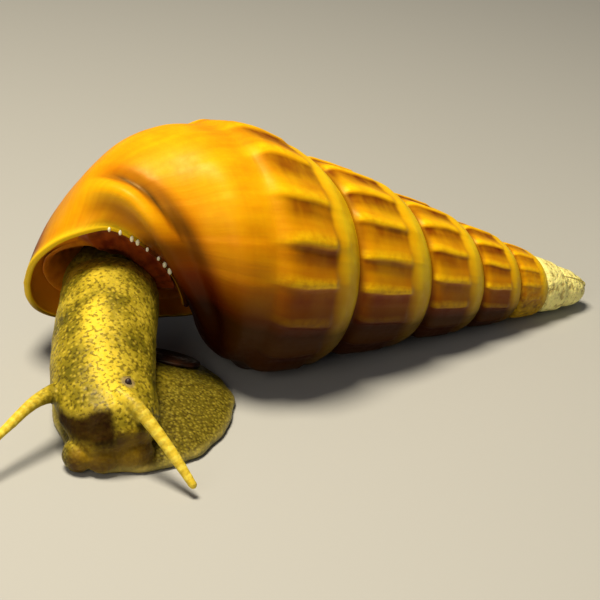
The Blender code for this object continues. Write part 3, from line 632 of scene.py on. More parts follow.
# Yellow cord below the suture, with a thin brown line of painted shade in the suture itself.
cord_place = node("Math", rib_across, phase_shift, operation="ADD")
cord_share = node(
    "ValToRGB", cord_place, stops=((0.0, "#707070"), (0.03, "#F4F4F4"), (0.22, "#E0E0E0"), (0.38, "#000000"))
)
cord_tint = node("ValToRGB", blots, stops=((0.36, "#F0C408"), (0.60, "#FFE01C")))
suture_share = node("Math", suture_part, 0.75, operation="MULTIPLY")

# The base goes to orange-brown, partly painted shade, most of all in the groove beside the fold, where
# painted shade is deepest;
# the underside goes to maroon with painted shade and some stain, which covers the cord last.
base_dark = node("ValToRGB", marks["base"], stops=((0.0, "#000000"), (0.3, "#747474"), (1.0, "#989898")))
fold_part = node("Math", marks["fold"], 0.97, operation="MULTIPLY", use_clamp=True)
fold_tint = node("ValToRGB", marks["fold"], stops=((0.1, "#C86C04"), (0.5, "#8A3400"), (0.95, "#2C0A00")))
under_tint = node(
    "ValToRGB", marks["under"],
    stops=((0.0, "#B87404"), (0.35, "#A05800"), (0.68, "#6A1E00"), (1.0, "#280800")),
)
under_part = node(
    "ValToRGB", marks["under"],
    stops=((0.0, "#000000"), (0.2, "#787878"), (0.45, "#A4A4A4"), (0.68, "#E4E4E4"), (0.9, "#FCFCFC")),
)
under_cord = node(
    "ValToRGB", marks["under"],
    stops=((0.0, "#000000"), (0.5, "#6C6C6C"), (0.75, "#B0B0B0"), (1.0, "#F4F4F4")),
)
under_cover = node("Mix", cord_share, under_part, under_cord, data_type="FLOAT")

# Each rib's crest gets a painted highlight in yellow, weaker in the lower side's painted shade and broken by
# pits, and the lip's edge is yellow.
crest = node(
    "ValToRGB", phase, stops=((0.02, "#F0F0F0"), (0.07, "#000000"), (0.74, "#000000"), (0.93, "#F0F0F0"))
)
crest_share = node("Math", crest, marks["rib_window"], operation="MULTIPLY")
crest_out_of_shade = node("MapRange", marks["under"], 0.55, 0.92, 1.0, 0.0)
crest_worn = node("MapRange", pits, 0.35, 0.6, 0.45, 1.0)
crest_broken = node("Math", crest_out_of_shade, crest_worn, operation="MULTIPLY")
painted_crest_highlight = node("Math", crest_share, crest_broken, operation="MULTIPLY")
lip_part = node("Math", marks["lip"], 0.92, operation="MULTIPLY")

# The worn apex: yellow, then cream lime at the tip, with darker pits.
worn_edge = node("Math", pits, 0.4, operation="MULTIPLY")
worn_sum = node("Math", worn_part, worn_edge, operation="ADD")
worn_share = node("MapRange", worn_sum, 0.36, 0.70, 0.0, 1.0)
lime = node("ValToRGB", worn_sum, stops=((0.40, "#DCA818"), (0.72, "#F0CC38"), (0.95, "#FFF6A0")))
pit_tint = node("ValToRGB", pits, stops=((0.36, "#80601A"), (0.46, "#FFFFFF")))
pit_share = node("Math", worn_share, 0.6, operation="MULTIPLY")

# Inside the mouth: polished orange-brown, with painted shade that darkens it inwards.
throat = node(
    "ValToRGB", marks["inside"],
    stops=((0.0, "#E4B414"), (0.18, "#E09C1C"), (0.30, "#DC8414"), (0.60, "#AC540C"), (0.85, "#642806")),
)
throat_in = node("MapRange", marks["inside"], 0.0, 0.05, 0.0, 1.0)

# The colours in the order in which each lies over the ones before it.
colour = amber
for share, tint, blend in (
    (0.6, cloud_tint, "MIX"),
    (0.07, thread_tint, "MULTIPLY"),
    (brown_soft, linear("#6A2000"), "MIX"),
    (cord_share, cord_tint, "MIX"),
    (suture_share, linear("#5A1E00"), "MIX"),
    (base_dark, linear("#BC6C02"), "MIX"),
    (fold_part, fold_tint, "MIX"),
    (under_cover, under_tint, "MIX"),
    (painted_crest_highlight, linear("#F4C40C"), "MIX"),
    (lip_part, linear("#EFC81C"), "MIX"),
    (worn_share, lime, "MIX"),
    (pit_share, pit_tint, "MULTIPLY"),
    (throat_in, throat, "MIX"),
):
    colour = node("Mix", share, colour, tint, data_type="RGBA", blend_type=blend)

gloss = node("MapRange", pits, 0.3, 0.7, 0.42, 0.58)
shine = node("MapRange", marks["under"], 0.5, 1.0, 0.35, 0.08)
relief = node("Mix", 0.15, fine_lines, threads, data_type="FLOAT")
line_bump = node("Bump", named={"Height": relief, "Distance": 0.08 * MM, "Strength": 0.35})
pit_depth = node("Math", pits, worn_part, operation="MULTIPLY")
pit_bump = node(
    "Bump", named={"Height": pit_depth, "Distance": 0.6 * MM, "Strength": 1.0, "Normal": line_bump}
)
set_surface(periostracum, Base_Color=colour, Roughness=gloss, Specular_IOR_Level=shine, Normal=pit_bump)
shell.data.materials.append(periostracum)
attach(shell, "root")
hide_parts("shell_apex", "shell_spire_upper", "shell_spire_lower", "shell_body_whorl")


# Skin: one soft, wet, grainy hide over neck, head, snout, foot and tentacles.
# Rings make the body, stacked outlines the foot and tapering tubes the tentacles; a voxel remesh joins them
# into one skin without a seam. The neck's root lies inside the mantle, and the sole is flat on the floor.
BODY_START_TURN = math.radians(28.0)
BODY_LINE = (
    (1.8, 13.4, 9.9), (-0.6, 8.0, 9.7), (-3.4, 2.4, 8.5), (-5.8, -3.0, 7.1),
    (-7.2, -7.3, 6.0), (-7.6, -10.3, 5.0), (-7.8, -12.1, 4.3), (-7.8, -13.6, 3.7),
)
BODY_WIDTHS = (5.6, 5.7, 5.9, 6.0, 6.0, 5.8, 5.5, 5.0, 3.9)
BODY_HEIGHTS = (3.8, 4.2, 5.4, 5.5, 4.9, 4.3, 4.1, 3.5, 2.3)
BODY_RINGS = 110
BODY_SIDES = 72
# The body's direction is taken over this share of its length to each side, and it turns level by this share.
BODY_STEP = 0.01
BODY_LEVEL = 0.25
SNOUT_REACH = 0.8 * MM
SNOUT_LOOPS = 8
SNOUT_DOME_START = 0.2

FOOT_OUTLINE = (
    (-12.2, -8.8), (-11.6, -12.2), (-6.9, -14.8), (-1.0, -14.8), (4.4, -12.2), (9.2, -7.2),
    (11.8, -1.6), (11.0, 5.4), (6.0, 10.8), (-1.0, 12.0), (-6.6, 8.6), (-10.2, 1.0),
)
FOOT_POINTS = 240
# Waves of the foot's edge: size as a share, waves round the foot, start. They die away inwards by a power.
FOOT_WAVES = ((0.008, 11, 0.0), (0.006, 17, 1.0))
FOOT_WAVE_POWER = 4
# Share of the outline and height in mm, from the sole up over the thin edge to the back.
FOOT_LEVELS = (
    (0.0, 0.0), (0.94, 0.0), (0.985, 0.2), (1.0, 0.6), (0.985, 0.95), (0.95, 1.25),
    (0.84, 1.9), (0.62, 2.7), (0.38, 3.6), (0.18, 4.2), (0.0, 4.3),
)

# Tentacles: share of the body's length and angle round it at the root, then places on the way in mm.
TENTACLES = {
    "left": ((0.88, 92.0), ((-6.1, -13.8, 7.7), (-4.2, -17.4, 4.9), (-2.4, -21.0, 1.6))),
    "right": ((0.78, 4.0), ((-15.4, -7.0, 6.6), (-19.0, -9.0, 5.4), (-22.6, -11.2, 4.0))),
}
TENTACLE_RADII = {"left": (1.15, 0.85, 0.68, 0.48), "right": (1.15, 0.74, 0.56, 0.38)}
TENTACLE_ROWS = 60
TENTACLE_SIDES = 24
TENTACLE_RINGS = 13
TENTACLE_RING_RISE = 0.018
TENTACLE_SMOOTH_END = 0.2
TENTACLE_ROOT_DEPTH = 0.6 * MM
TENTACLE_TIP_LOOPS = 6
TENTACLE_TIP_START = 0.25

# Lips and lobes round the snout: centre and half lengths in mm.
SNOUT_LOBES = (
    ((-6.2, -13.6, 1.9), (2.5, 1.3, 1.9)),
    ((-9.5, -13.3, 1.9), (2.0, 1.3, 1.8)),
    ((-12.0, -11.6, 1.8), (1.7, 2.0, 1.9)),
)
VOXEL = 0.22 * MM
FINE_MERGE = 1e-7


def unit(vectors):
    return vectors / np.linalg.norm(vectors, axis=-1, keepdims=True)


def add_ball(segments, rings, radius, place, stretch=(1.0, 1.0, 1.0)):
    """A ball with its place and its stretch in its mesh."""
    deselect()
    bpy.ops.mesh.primitive_uv_sphere_add(
        segments=segments, ring_count=rings, radius=radius, location=place, scale=stretch
    )
    bpy.ops.object.transform_apply(location=True, rotation=True, scale=True)
    return bpy.context.object


def body_rings(share):
    """Rings of the body at shares of its length: centre, cross and upward half axes, and the way ahead."""
    share = np.asarray(share, float)
    centre, long_half, _ = hollow_frame(BODY_START_TURN)
    line = np.vstack([centre + unit(long_half) * MM, np.array(BODY_LINE) * MM])
    along = np.concatenate([[0.0], np.cumsum(np.linalg.norm(np.diff(line, axis=0), axis=1))])
    along /= along[-1]
    ahead = smooth_value(along, line, np.minimum(share + BODY_STEP, 1.0))
    forward = unit(ahead - smooth_value(along, line, np.maximum(share - BODY_STEP, 0.0)))
    width = smooth_value(along, BODY_WIDTHS, share) * MM
    height = smooth_value(along, BODY_HEIGHTS, share) * MM
    level = unit(np.cross(forward, (0.0, 0.0, 1.0)))
    turned = np.minimum(1.0, share / BODY_LEVEL)[:, None]
    start_forward = radial(np.array(MOUTH_ANGLE - BODY_START_TURN + math.pi / 2))
    forward = unit(start_forward * (1.0 - turned) + forward * turned)
    cross = unit(unit(long_half) * (1.0 - turned) + level * turned)
    cross = unit(cross - forward * (cross * forward).sum(axis=1, keepdims=True))
    upward = np.cross(cross, forward)
    return smooth_value(along, line, share), cross * width[:, None], upward * height[:, None], forward


def body_place(share, degrees, rise=0.0):
    """Point on the body's skin at a share of its length and an angle round it, raised off it."""
    centre, cross, upward, _ = (part[0] for part in body_rings([share]))
    spot = centre + cross * math.cos(math.radians(degrees)) + upward * math.sin(math.radians(degrees))
    return spot + unit(spot - centre) * rise


def circle(cross, upward, turn):
    """Ring of offsets round each point of a line, from its cross and upward half axes."""
    return cross[:, None] * np.cos(turn)[None, :, None] + upward[:, None] * np.sin(turn)[None, :, None]


ring_centre, ring_cross, ring_upward, ring_forward = body_rings(np.linspace(0.0, 1.0, BODY_RINGS))
turn = np.linspace(0.0, math.tau, BODY_SIDES + 1)
body_points = ring_centre[:, None] + circle(ring_cross, ring_upward, turn)
snout_ring = body_points[-1] - ring_centre[-1]
snout_dome = [
    ring_centre[-1] + snout_ring * math.cos(rise) + ring_forward[-1] * SNOUT_REACH * math.sin(rise)
    for rise in np.linspace(SNOUT_DOME_START, math.pi / 2, SNOUT_LOOPS)
]
root_cap = np.broadcast_to(ring_centre[0], body_points[0].shape)
body_piece = lay_grid("skin", np.concatenate([[root_cap], body_points, snout_dome]))

around = np.linspace(0.0, 1.0, FOOT_POINTS + 1)
outline_keys = np.linspace(0.0, 1.0, len(FOOT_OUTLINE) + 1)
outline = smooth_value(outline_keys, np.array(FOOT_OUTLINE + FOOT_OUTLINE[:1]) * MM, around)
wave = sum((size * np.sin(around * math.tau * waves + start) for size, waves, start in FOOT_WAVES), 1.0)
foot_loops = []
for share, height in FOOT_LEVELS:
    loop = outline * (share * (1.0 + (wave - 1.0) * share**FOOT_WAVE_POWER))[:, None]
    foot_loops.append(np.column_stack([loop, np.full(len(outline), height * MM)]))
foot_piece = lay_grid("skin_foot", np.array(foot_loops))

flesh_pieces = [body_piece, foot_piece]
tentacle_routes = []
for side, ((root_share, root_degrees), route) in TENTACLES.items():
    route = np.vstack([body_place(root_share, root_degrees, -TENTACLE_ROOT_DEPTH), np.array(route) * MM])
    keys = np.linspace(0.0, 1.0, len(route))
    share = np.linspace(0.0, 1.0, TENTACLE_ROWS)
    middle = smooth_value(keys, route, share)
    tentacle_routes.append(middle)
    forward = unit(np.gradient(middle, axis=0))
    cross = unit(np.cross(forward, (0.0, 0.0, 1.0)))
    radius = smooth_value(keys, TENTACLE_RADII[side], share) * MM
    ringed = np.sin(share * math.tau * TENTACLE_RINGS) * ease(share, 0.0, TENTACLE_SMOOTH_END)
    radius *= 1.0 + TENTACLE_RING_RISE * ringed
    ring = circle(cross, np.cross(cross, forward), np.linspace(0.0, math.tau, TENTACLE_SIDES + 1))
    tube = middle[:, None] + ring * radius[:, None, None]
    tip = [
        middle[-1] + ring[-1] * radius[-1] * math.cos(rise) + forward[-1] * radius[-1] * math.sin(rise)
        for rise in np.linspace(TENTACLE_TIP_START, math.pi / 2, TENTACLE_TIP_LOOPS)
    ]
    root = np.broadcast_to(middle[0], tube[0].shape)
    flesh_pieces.append(lay_grid(f"skin_tentacle_{side}", np.concatenate([[root], tube, tip])))
for place, half in SNOUT_LOBES:
    flesh_pieces.append(add_ball(32, 18, MM, [value * MM for value in place], half))

skin = join_and_merge(flesh_pieces, FINE_MERGE)
skin.name = "skin"
skin.data.remesh_voxel_size = VOXEL
bpy.ops.object.voxel_remesh()
soften = skin.modifiers.new("soften", "SMOOTH")
soften.factor = 0.5
soften.iterations = 4
bpy.ops.object.modifier_apply(modifier="soften")
bpy.ops.object.shade_smooth()

# Marks for the colours. The stripe runs from the neck to the left tentacle: shares of the body's length
# and angles round it. The other pairs are places between which a mark goes from nothing to full.
STRIPE = ((0.10, 66.0), (0.30, 70.0), (0.50, 74.0), (0.68, 80.0), (0.80, 86.0), (0.89, 92.0))
STRIPE_WIDTH = 1.9 * MM
STRIPE_POINTS = 60
STRIPE_FADE = 34.0
FOOT_CLEAR = (0.35 * MM, 1.25 * MM)
FOOT_TOP = (4.4 * MM, 3.4 * MM)
FOOT_EDGE_HEIGHT = 0.6 * MM
FOOT_EDGE_WIDTH = 0.6 * MM
TENTACLE_REACH = 1.75 * MM
TENTACLE_TAPER = 0.9 * MM
TENTACLE_EDGE = 0.35 * MM
SNOUT_MIDDLE = np.array((-9.0, -13.0, 2.0)) * MM
SNOUT_NEAR = (6.0 * MM, 4.4 * MM)
SNOUT_FRONT = (-11.6 * MM, -13.2 * MM)
SNOUT_TOP = (6.4 * MM, 4.6 * MM)
ROOT_RINGS = (BODY_RINGS * 0.19, 0.0)
FACE_SIDE = (-8.3 * MM, -9.5 * MM)
FACE_FRONT = (-6.8 * MM, -9.2 * MM)
FACE_LOW = (2.6 * MM, 5.0 * MM)
FACE_TOP = 8.2 * MM
FACE_TOP_EDGE = 0.9 * MM
FACE_SLOPE = 0.6
FACE_SLOPE_START = -10.4 * MM
EYES = {"left": (0.855, 106.0), "right": (0.775, -18.0)}
EYE_RING = (1.0 * MM, 0.6 * MM)
# Grains and soft folds of the skin: how far apart, and how high. They fade out down to the sole,
# and this share of them is gone on the tentacles.
GRAIN = (0.45 * MM, 0.05 * MM)
SOFT_FOLD = (2.4 * MM, 0.10 * MM)
SMOOTH_SOLE = (0.0, 0.8 * MM)
TENTACLE_CALM = 0.6
BODY_SKIP = 3


def nearest(keys, places):
    """Distance from each place to the nearest key, and that key's number."""
    tree = KDTree(len(keys))
    for number, key in enumerate(keys):
        tree.insert(key, number)
    tree.balance()
    found = [tree.find(place) for place in places]
    return np.array([entry[2] for entry in found]), np.array([entry[1] for entry in found])


def noise_at(points, size):
    return np.array([noise.noise(Vector(point * (1 / size))) for point in points])


skin_points = np.empty((len(skin.data.vertices), 3), np.float32)
skin.data.vertices.foreach_get("co", skin_points.reshape(-1))
skin_points = skin_points.astype(float)
skin_points[:, 2] = np.maximum(skin_points[:, 2], 0.0)
skin_x, skin_y, skin_z = skin_points.T.copy()
stripe_places = [body_place(share, degrees) for share, degrees in STRIPE]
stripe_shares = np.linspace(0, 1, len(STRIPE))
stripe_route = smooth_value(stripe_shares, stripe_places, np.linspace(0, 1, STRIPE_POINTS))
stripe_distance, stripe_number = nearest(stripe_route, skin_points)
stripe = mounds(stripe_distance, (0.0, STRIPE_WIDTH, 1.0)) * ease(stripe_number, 0.0, STRIPE_FADE)
body_distance, body_number = nearest(body_points[:, ::BODY_SKIP].reshape(-1, 3), skin_points)
body_ring = body_number // len(range(0, BODY_SIDES + 1, BODY_SKIP))
foot_share = ease(body_distance, *FOOT_CLEAR) * ease(skin_z, *FOOT_TOP)
# Painted shade at the neck's root, where it goes in under the mantle.
root_share = ease(body_ring, *ROOT_RINGS) * (1.0 - foot_share)
outline_points = np.column_stack([outline, np.full(len(outline), FOOT_EDGE_HEIGHT)])
edge_share = mounds(nearest(outline_points, skin_points)[0], (0.0, FOOT_EDGE_WIDTH, 1.0))
tentacle_distance, tentacle_number = nearest(np.vstack(tentacle_routes), skin_points)
tentacle_share = (tentacle_number % TENTACLE_ROWS) / (TENTACLE_ROWS - 1)
on_tentacle = ease((TENTACLE_REACH - TENTACLE_TAPER * tentacle_share - tentacle_distance) / TENTACLE_EDGE)
snout_share = ease(skin_y, *SNOUT_FRONT) * ease(skin_z, *SNOUT_TOP)
snout_share *= (1.0 - on_tentacle) * ease(np.linalg.norm(skin_points - SNOUT_MIDDLE, axis=1), *SNOUT_NEAR)
# Painted shade on the face below the brow.
face_top = FACE_TOP - FACE_SLOPE * np.maximum(FACE_SLOPE_START - skin_x, 0.0)
face_shade = ease(skin_x, *FACE_SIDE) * ease(skin_z, face_top, face_top - FACE_TOP_EDGE)
face_shade *= ease(skin_z, *FACE_LOW) * ease(skin_y, *FACE_FRONT)
eye_places = [body_place(share, degrees) for share, degrees in EYES.values()]
eye_ring = ease(nearest(eye_places, skin_points)[0], *EYE_RING)

normals = np.empty((len(skin_points), 3), np.float32)
skin.data.vertices.foreach_get("normal", normals.reshape(-1))
rise = sum(noise_at(skin_points, size) * height for size, height in (GRAIN, SOFT_FOLD))
rise *= ease(skin_z, *SMOOTH_SOLE) * (1.0 - TENTACLE_CALM * on_tentacle)
skin_points += normals * rise[:, None]
skin.data.vertices.foreach_set("co", skin_points.reshape(-1).astype(np.float32))
skin_marks = {
    "stripe": stripe, "foot": foot_share * (1 - on_tentacle), "edge": edge_share, "tentacle": on_tentacle,
    "tentacle_share": tentacle_share, "snout": snout_share, "root": root_share,
    "face": face_shade * (1 - on_tentacle), "eye_ring": eye_ring,
}
for label, values in skin_marks.items():
    mark_points(skin, label, values)
skin.data.update()

# Wet mucous skin, olive-yellow with pale yellow grains and dark dashes; light goes a little way in.
# A tentacle has 13 pale bands, about one to each of its rings.
BAND_PHASE = 82.0
hide = start_material(
    "wet_mucous_skin", IOR=1.38, Subsurface_Weight=0.15, Subsurface_Scale=0.8 * MM,
    Subsurface_Radius=(1.0, 0.6, 0.1), Coat_Weight=0.04, Coat_Roughness=0.3,
)
node = partial(add_node, hide.node_tree)
where = node("TexCoord", out="Object")
marks = {label: node("Attribute", attribute_name=label, out="Fac") for label in skin_marks}
# Clouds 3.5 mm across, pale grains 0.6 mm apart, dark dashes 0.45 mm apart; finer grains on the foot.
clouds = node("TexNoise", where, 1 / (3.5 * MM), 3.0)
grains = node("TexVoronoi", where, 1 / (0.62 * MM))
foot_grains = node("TexVoronoi", where, 1 / (0.42 * MM))
dash_noise = node("TexNoise", where, 1 / (0.45 * MM), 2.0)
olive = node("ValToRGB", clouds, stops=((0.34, "#605810"), (0.48, "#887A1A"), (0.62, "#AC9A2C")))
stripe_cloud = node("Math", marks["stripe"], clouds, operation="MULTIPLY")
stripe_part = node("MapRange", stripe_cloud, 0.10, 0.46, 0.0, 0.85)
dashes = node("ValToRGB", dash_noise, stops=((0.41, "#FFFFFF"), (0.48, "#000000")))
dash_part = node("Math", dashes, 0.62, operation="MULTIPLY")
grain_spots = node("ValToRGB", grains, stops=((0.0, "#FFFFFF"), (0.24, "#C0C0C0"), (0.42, "#000000")))
grain_cover = node("MapRange", marks["foot"], 0.0, 1.0, 0.5, 0.15)
grain_part = node("Math", grain_spots, grain_cover, operation="MULTIPLY")
foot_spots = node("ValToRGB", foot_grains, stops=((0.0, "#FFFFFF"), (0.30, "#D0D0D0"), (0.52, "#000000")))
foot_cover = node("Math", foot_spots, marks["foot"], operation="MULTIPLY")
foot_grain_part = node("Math", foot_cover, 0.6, operation="MULTIPLY")

# Pale bands on the tentacles, dark brown painted shade on the face and the neck's root, lighter brown on the
# snout, a pale foot edge and pale rings round the eyes.
band_phase = node("Math", marks["tentacle_share"], BAND_PHASE, operation="MULTIPLY")
band_wave = node("Math", band_phase, operation="SINE")
bands = node("ValToRGB", band_wave, stops=((0.0, "#E2C63C"), (0.8, "#F2DC56")))
band_share = node("Math", marks["tentacle"], marks["tentacle_share"], operation="MULTIPLY")
band_part = node("MapRange", band_share, 0.10, 0.55, 0.0, 0.75)
painted_shade_share = node("Math", marks["root"], marks["face"], operation="MAXIMUM")
painted_shade_part = node("Math", painted_shade_share, 0.97, operation="MULTIPLY")
snout_clear = node("MapRange", marks["face"], 0.0, 0.9, 0.85, 0.12)
snout_part = node("Math", marks["snout"], snout_clear, operation="MULTIPLY")
snout_brown = node("ValToRGB", clouds, stops=((0.38, "#503404"), (0.60, "#86680C")))
edge_part = node("Math", marks["edge"], 0.6, operation="MULTIPLY")
ring_part = node("Math", marks["eye_ring"], 0.75, operation="MULTIPLY")

# The colours in the order in which each lies over the ones before it.
colour = olive
for share, tint in (
    (marks["foot"], linear("#5A5012")),
    (stripe_part, linear("#E0C836")),
    (dash_part, linear("#33280C")),
    (grain_part, linear("#DCC444")),
    (foot_grain_part, linear("#A39636")),
    (band_part, bands),
    (painted_shade_part, linear("#200D03")),
    (snout_part, snout_brown),
    (edge_part, linear("#B4A860")),
    (ring_part, linear("#8A7A60")),
):
    colour = node("Mix", share, colour, tint, data_type="RGBA")

wet = node("MapRange", dash_noise, 0.3, 0.7, 0.36, 0.56)
dull = node("Math", painted_shade_share, 0.35, wet, operation="MULTIPLY_ADD")
shine = node("MapRange", painted_shade_share, 0.0, 1.0, 0.2, 0.06)
grain_bump = node("Bump", named={"Height": grains, "Distance": 0.12 * MM, "Strength": 0.6}, invert=True)
dash_bump = node(
    "Bump", named={"Height": dash_noise, "Distance": 0.15 * MM, "Strength": 0.6, "Normal": grain_bump}
)
set_surface(hide, Base_Color=colour, Roughness=dull, Specular_IOR_Level=shine, Normal=dash_bump)
skin.data.materials.clear()
skin.data.materials.append(hide)
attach(skin, "root")
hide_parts("neck", "head", "snout", "foot", "tentacle_left_base", "tentacle_left_tip",
            "tentacle_right_base", "tentacle_right_tip")


# Mantle: the fleshy collar that lines the lip, and the body behind it that fills the whorl.
# One sheet runs from deep in the hollow out to the collar's edge, turns over it and closes behind the neck.
# White beads stand along the collar's edge on the side of the inner lip.
COLLAR_INSET = 0.45 * MM
COLLAR_THICKNESS = 0.9 * MM
COLLAR_THIN_SHARE = 0.4
COLLAR_HANG = 3.8 * MM
COLLAR_START = math.radians(1.6)
COLLAR_LEFT_START = math.radians(13.0)
COLLAR_ROUNDING = math.radians(1.6)
COLLAR_DEEP = math.radians(29.0)
COLLAR_CLOSED = 0.04
MANTLE_END = math.radians(90.0)
MANTLE_LOOPS = 8
COLLAR_EDGE_LOOPS = 7
COLLAR_BACK_LOOPS = 6
COLLAR_FIRST_SHARE = 0.15
# Angles along the rim between which the collar hangs free.
COLLAR_HANG_START = (-1.5, -0.8)
COLLAR_HANG_END = (2.2, 1.4)
# The frill of the collar: height in degrees of turn, and how many of the rim's points it takes.
FRILLS = ((0.35, 9.0), (0.25, 23.0))
BEAD_ANGLES = (-16.0, -7.0, 2.0, 15.5, 26.0, 32.0, 44.0, 56.0)
BEAD_RADIUS = 0.24 * MM
BEAD_SPREAD = 0.25
BEAD_CHANGE = 7.0
BEAD_OFFSET = 0.35 * MM
BEAD_STRETCH = (1.0, 1.0, 1.7)

inner_side = ease(rim_angle, *COLLAR_HANG_START) * ease(rim_angle, *COLLAR_HANG_END)
thickness = COLLAR_THICKNESS * (COLLAR_THIN_SHARE + (1.0 - COLLAR_THIN_SHARE) * inner_side)
thickness = thickness + COLLAR_HANG * inner_side
frill = sum(height * np.sin(np.arange(len(rim)) * math.tau / points) for height, points in FRILLS)
frill = frill * inner_side
collar_start = COLLAR_START * inner_side + COLLAR_LEFT_START * (1.0 - inner_side) + np.radians(frill)
mantle_rows = [np.broadcast_to(hollow_frame(MANTLE_END)[0], rim.shape)]
for turn in np.linspace(MANTLE_END, COLLAR_DEEP, MANTLE_LOOPS):
    mantle_rows.append(hollow_loop(turn, COLLAR_INSET))
for share in np.linspace(COLLAR_FIRST_SHARE, 1.0, MANTLE_LOOPS):
    mantle_rows.append(hollow_loop(COLLAR_DEEP * (1.0 - share) + collar_start * share, COLLAR_INSET))
for swing in np.linspace(0.0, math.pi, COLLAR_EDGE_LOOPS)[1:]:
    bulge = collar_start - COLLAR_ROUNDING * math.sin(swing)
    mantle_rows.append(hollow_loop(bulge, COLLAR_INSET + thickness * (1.0 - math.cos(swing)) / 2))
for share in np.linspace(COLLAR_FIRST_SHARE, 1.0, COLLAR_BACK_LOOPS):
    back = COLLAR_DEEP * share + collar_start * (1.0 - share)
    mantle_rows.append(hollow_loop(back, COLLAR_INSET + thickness))
mantle_rows.append(np.broadcast_to(hollow_frame(COLLAR_DEEP + COLLAR_CLOSED)[0], rim.shape))
mantle_points = np.array(mantle_rows)
mantle_points = np.concatenate([mantle_points, mantle_points[:, :1]], axis=1)
inner_side = np.append(inner_side, inner_side[0])
mantle = lay_grid("mantle", mantle_points, tags={"bead": 0.0, "inner_side": inner_side[None, :]})
beads = []
for angle in BEAD_ANGLES:
    number = BASE_COLUMNS + round((angle - LAST_TURN_START) * ROWS_PER_TURN / 360.0)
    inward = unit(hollow_frame(0.0)[0] - rim[number])
    place = rim[number] + inward * BEAD_OFFSET + mouth_forward * BEAD_OFFSET
    size = BEAD_RADIUS * (1.0 + BEAD_SPREAD * math.sin(number * BEAD_CHANGE))
    bead = add_ball(16, 10, size, place, BEAD_STRETCH)
    mark_points(bead, "bead", [1.0] * len(bead.data.vertices))
    beads.append(bead)
mantle = join_and_merge([mantle] + beads, FINE_MERGE)

# Wet skin in amber blots 1.6 mm across, with white beads; red-brown, partly painted shade, on the side of the
# inner lip.
collar_skin = start_material(
    "wet_mantle_skin", IOR=1.38, Roughness=0.45, Specular_IOR_Level=0.3, Subsurface_Weight=0.15,
    Subsurface_Scale=0.8 * MM, Subsurface_Radius=(1.0, 0.4, 0.1), Coat_Weight=0.1, Coat_Roughness=0.3,
)
node = partial(add_node, collar_skin.node_tree)
where = node("TexCoord", out="Object")
blots = node("TexNoise", where, 1 / (1.6 * MM), 4.0)
colour = node("ValToRGB", blots, stops=((0.35, "#BC640C"), (0.62, "#DC8414")))
dark_side = node("ValToRGB", blots, stops=((0.35, "#601C06"), (0.62, "#84380C")))
for label, tint in (("inner_side", dark_side), ("bead", linear("#F6F2DC"))):
    share = node("Attribute", attribute_name=label, out="Fac")
    colour = node("Mix", share, colour, tint, data_type="RGBA")
blot_bump = node("Bump", named={"Height": blots, "Distance": 0.2 * MM, "Strength": 0.4})
set_surface(collar_skin, Base_Color=colour, Normal=blot_bump)
mantle.data.materials.clear()
mantle.data.materials.append(collar_skin)
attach(mantle, "root")
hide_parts("mantle_edge", "mantle")


# Eyes: small dark beads, each sunk in the outer side of a tentacle's root.
# A thin clear skin lies over the dark of each, so it is soft and wet to look at.
EYE_RADIUS = 0.38 * MM
EYE_RISE = 0.08 * MM
cornea = start_material(
    "dark_eye_under_clear_skin", Base_Color=linear("#2C2028"), Roughness=0.4, IOR=1.38, Coat_Weight=0.15,
    Coat_Roughness=0.2,
)
for side, (share, degrees) in EYES.items():
    eye = add_ball(48, 28, EYE_RADIUS, body_place(share, degrees, EYE_RISE))
    eye.name = f"eye_{side}_ball"
    bpy.ops.object.shade_smooth()
    eye.data.materials.append(cornea)
    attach(eye, "root")
    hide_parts(f"eye_{side}")


# Operculum: the oval plate of dark horn that shuts the mouth when the animal is in.
# It is grown in rings and lies flat on the back of the foot, held by the muscle under it.
OPERCULUM_CENTRE = np.array((6.4, 5.6, 2.6)) * MM
OPERCULUM_FACING = np.array((0.22, 0.19, 0.96))
OPERCULUM_HALVES = (4.3 * MM, 3.4 * MM)
# Share of the outline and height in mm, from the underside round the edge; then rings up to the middle.
OPERCULUM_LEVELS = ((0.0, -0.3), (0.85, -0.3), (0.97, -0.2), (1.0, 0.0), (0.97, 0.16))
OPERCULUM_SIDES = 96
RING_SHARE = 0.93
RING_LOOPS = 40
RING_LEVEL = 0.24
RING_HEIGHT = 0.05
RING_PHASE = 38.0
facing = unit(OPERCULUM_FACING)
cross = unit(np.cross(facing, (facing[0], facing[1], 0.0)))
upward = np.cross(facing, cross)
turn = np.linspace(0.0, math.tau, OPERCULUM_SIDES + 1)[:, None]
oval = cross * OPERCULUM_HALVES[0] * np.cos(turn) + upward * OPERCULUM_HALVES[1] * np.sin(turn)
levels = list(OPERCULUM_LEVELS)
for share in np.linspace(RING_SHARE, 0.0, RING_LOOPS):
    levels.append((share, RING_LEVEL + RING_HEIGHT * math.sin(share * RING_PHASE)))
plate_points = np.array([OPERCULUM_CENTRE + facing * height * MM + oval * share for share, height in levels])
operculum = join_and_merge([lay_grid("operculum_plate", plate_points)], FINE_MERGE)

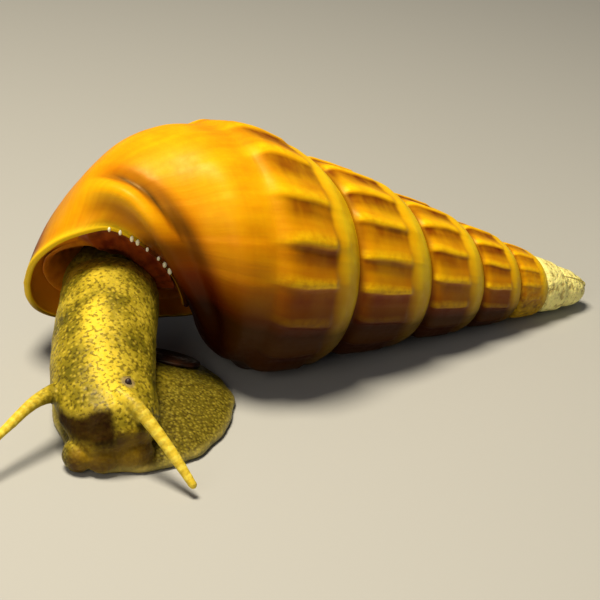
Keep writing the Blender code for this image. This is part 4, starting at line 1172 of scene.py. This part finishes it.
# Horn in layers, dark brown in blots 1.1 mm across.
horn = start_material(
    "dark_operculum_horn", IOR=1.55, Roughness=0.55, Specular_IOR_Level=0.3, Subsurface_Weight=0.1,
    Subsurface_Scale=0.4 * MM,
)
node = partial(add_node, horn.node_tree)
where = node("TexCoord", out="Object")
layers = node("TexNoise", where, 1 / (1.1 * MM), 4.0)
horn_tint = node("ValToRGB", layers, stops=((0.35, "#1C0C06"), (0.65, "#40200C")))
set_surface(horn, Base_Color=horn_tint)
operculum.data.materials.append(horn)
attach(operculum, "root")
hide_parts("operculum")


# Floor, lights and camera: a pale studio table, a warm light above, and a weak one from the front left.
# The camera stands where the photograph's did, for a picture of 600 by 600 pixels.
FLOOR_SIDE = 3.0
deselect()
bpy.ops.mesh.primitive_plane_add(size=FLOOR_SIDE)
floor = bpy.context.object
floor.name = "studio_floor"
paper = start_material("matt_paper", Base_Color=linear("#A9ACB2"), Roughness=0.9)
floor.data.materials.append(paper)

world = bpy.data.worlds.new("studio_air")
world.use_nodes = True
world.node_tree.nodes["Background"].inputs["Color"].default_value = linear("#E6E6E4")
world.node_tree.nodes["Background"].inputs["Strength"].default_value = 0.09
bpy.context.scene.world = world
bpy.context.scene.view_settings.view_transform = "Standard"

# Name, place in metres, width, power and colour. Both point near the middle of the snail.
LIGHTS = (
    ("key_light", (-0.08, 0.0, 0.34), 0.13, 2.05, "#FFEFCC"),
    ("left_light", (-0.24, -0.20, 0.17), 0.18, 0.26, "#FFF0D8"),
)
LIGHT_TARGET = Vector((0.02, 0.0, 0.01))
for name, place, size, power, colour in LIGHTS:
    bpy.ops.object.light_add(type="AREA", location=place)
    light = bpy.context.object
    light.name = name
    light.data.shape = "DISK"
    light.data.size = size
    light.data.energy = power
    light.data.color = linear(colour)[:3]
    light.rotation_euler = (LIGHT_TARGET - light.location).to_track_quat("-Z", "Y").to_euler()

CAMERA_PLACE = (-0.07787284, -0.16541574, 0.10028749)
CAMERA_TURN = (65.0, -5.87, -28.115)
bpy.ops.object.camera_add(location=CAMERA_PLACE, rotation=[math.radians(angle) for angle in CAMERA_TURN])
camera = bpy.context.object
camera.data.lens = 105.0
camera.data.sensor_width = 36.0
camera.data.clip_start = 0.01
bpy.context.scene.camera = camera
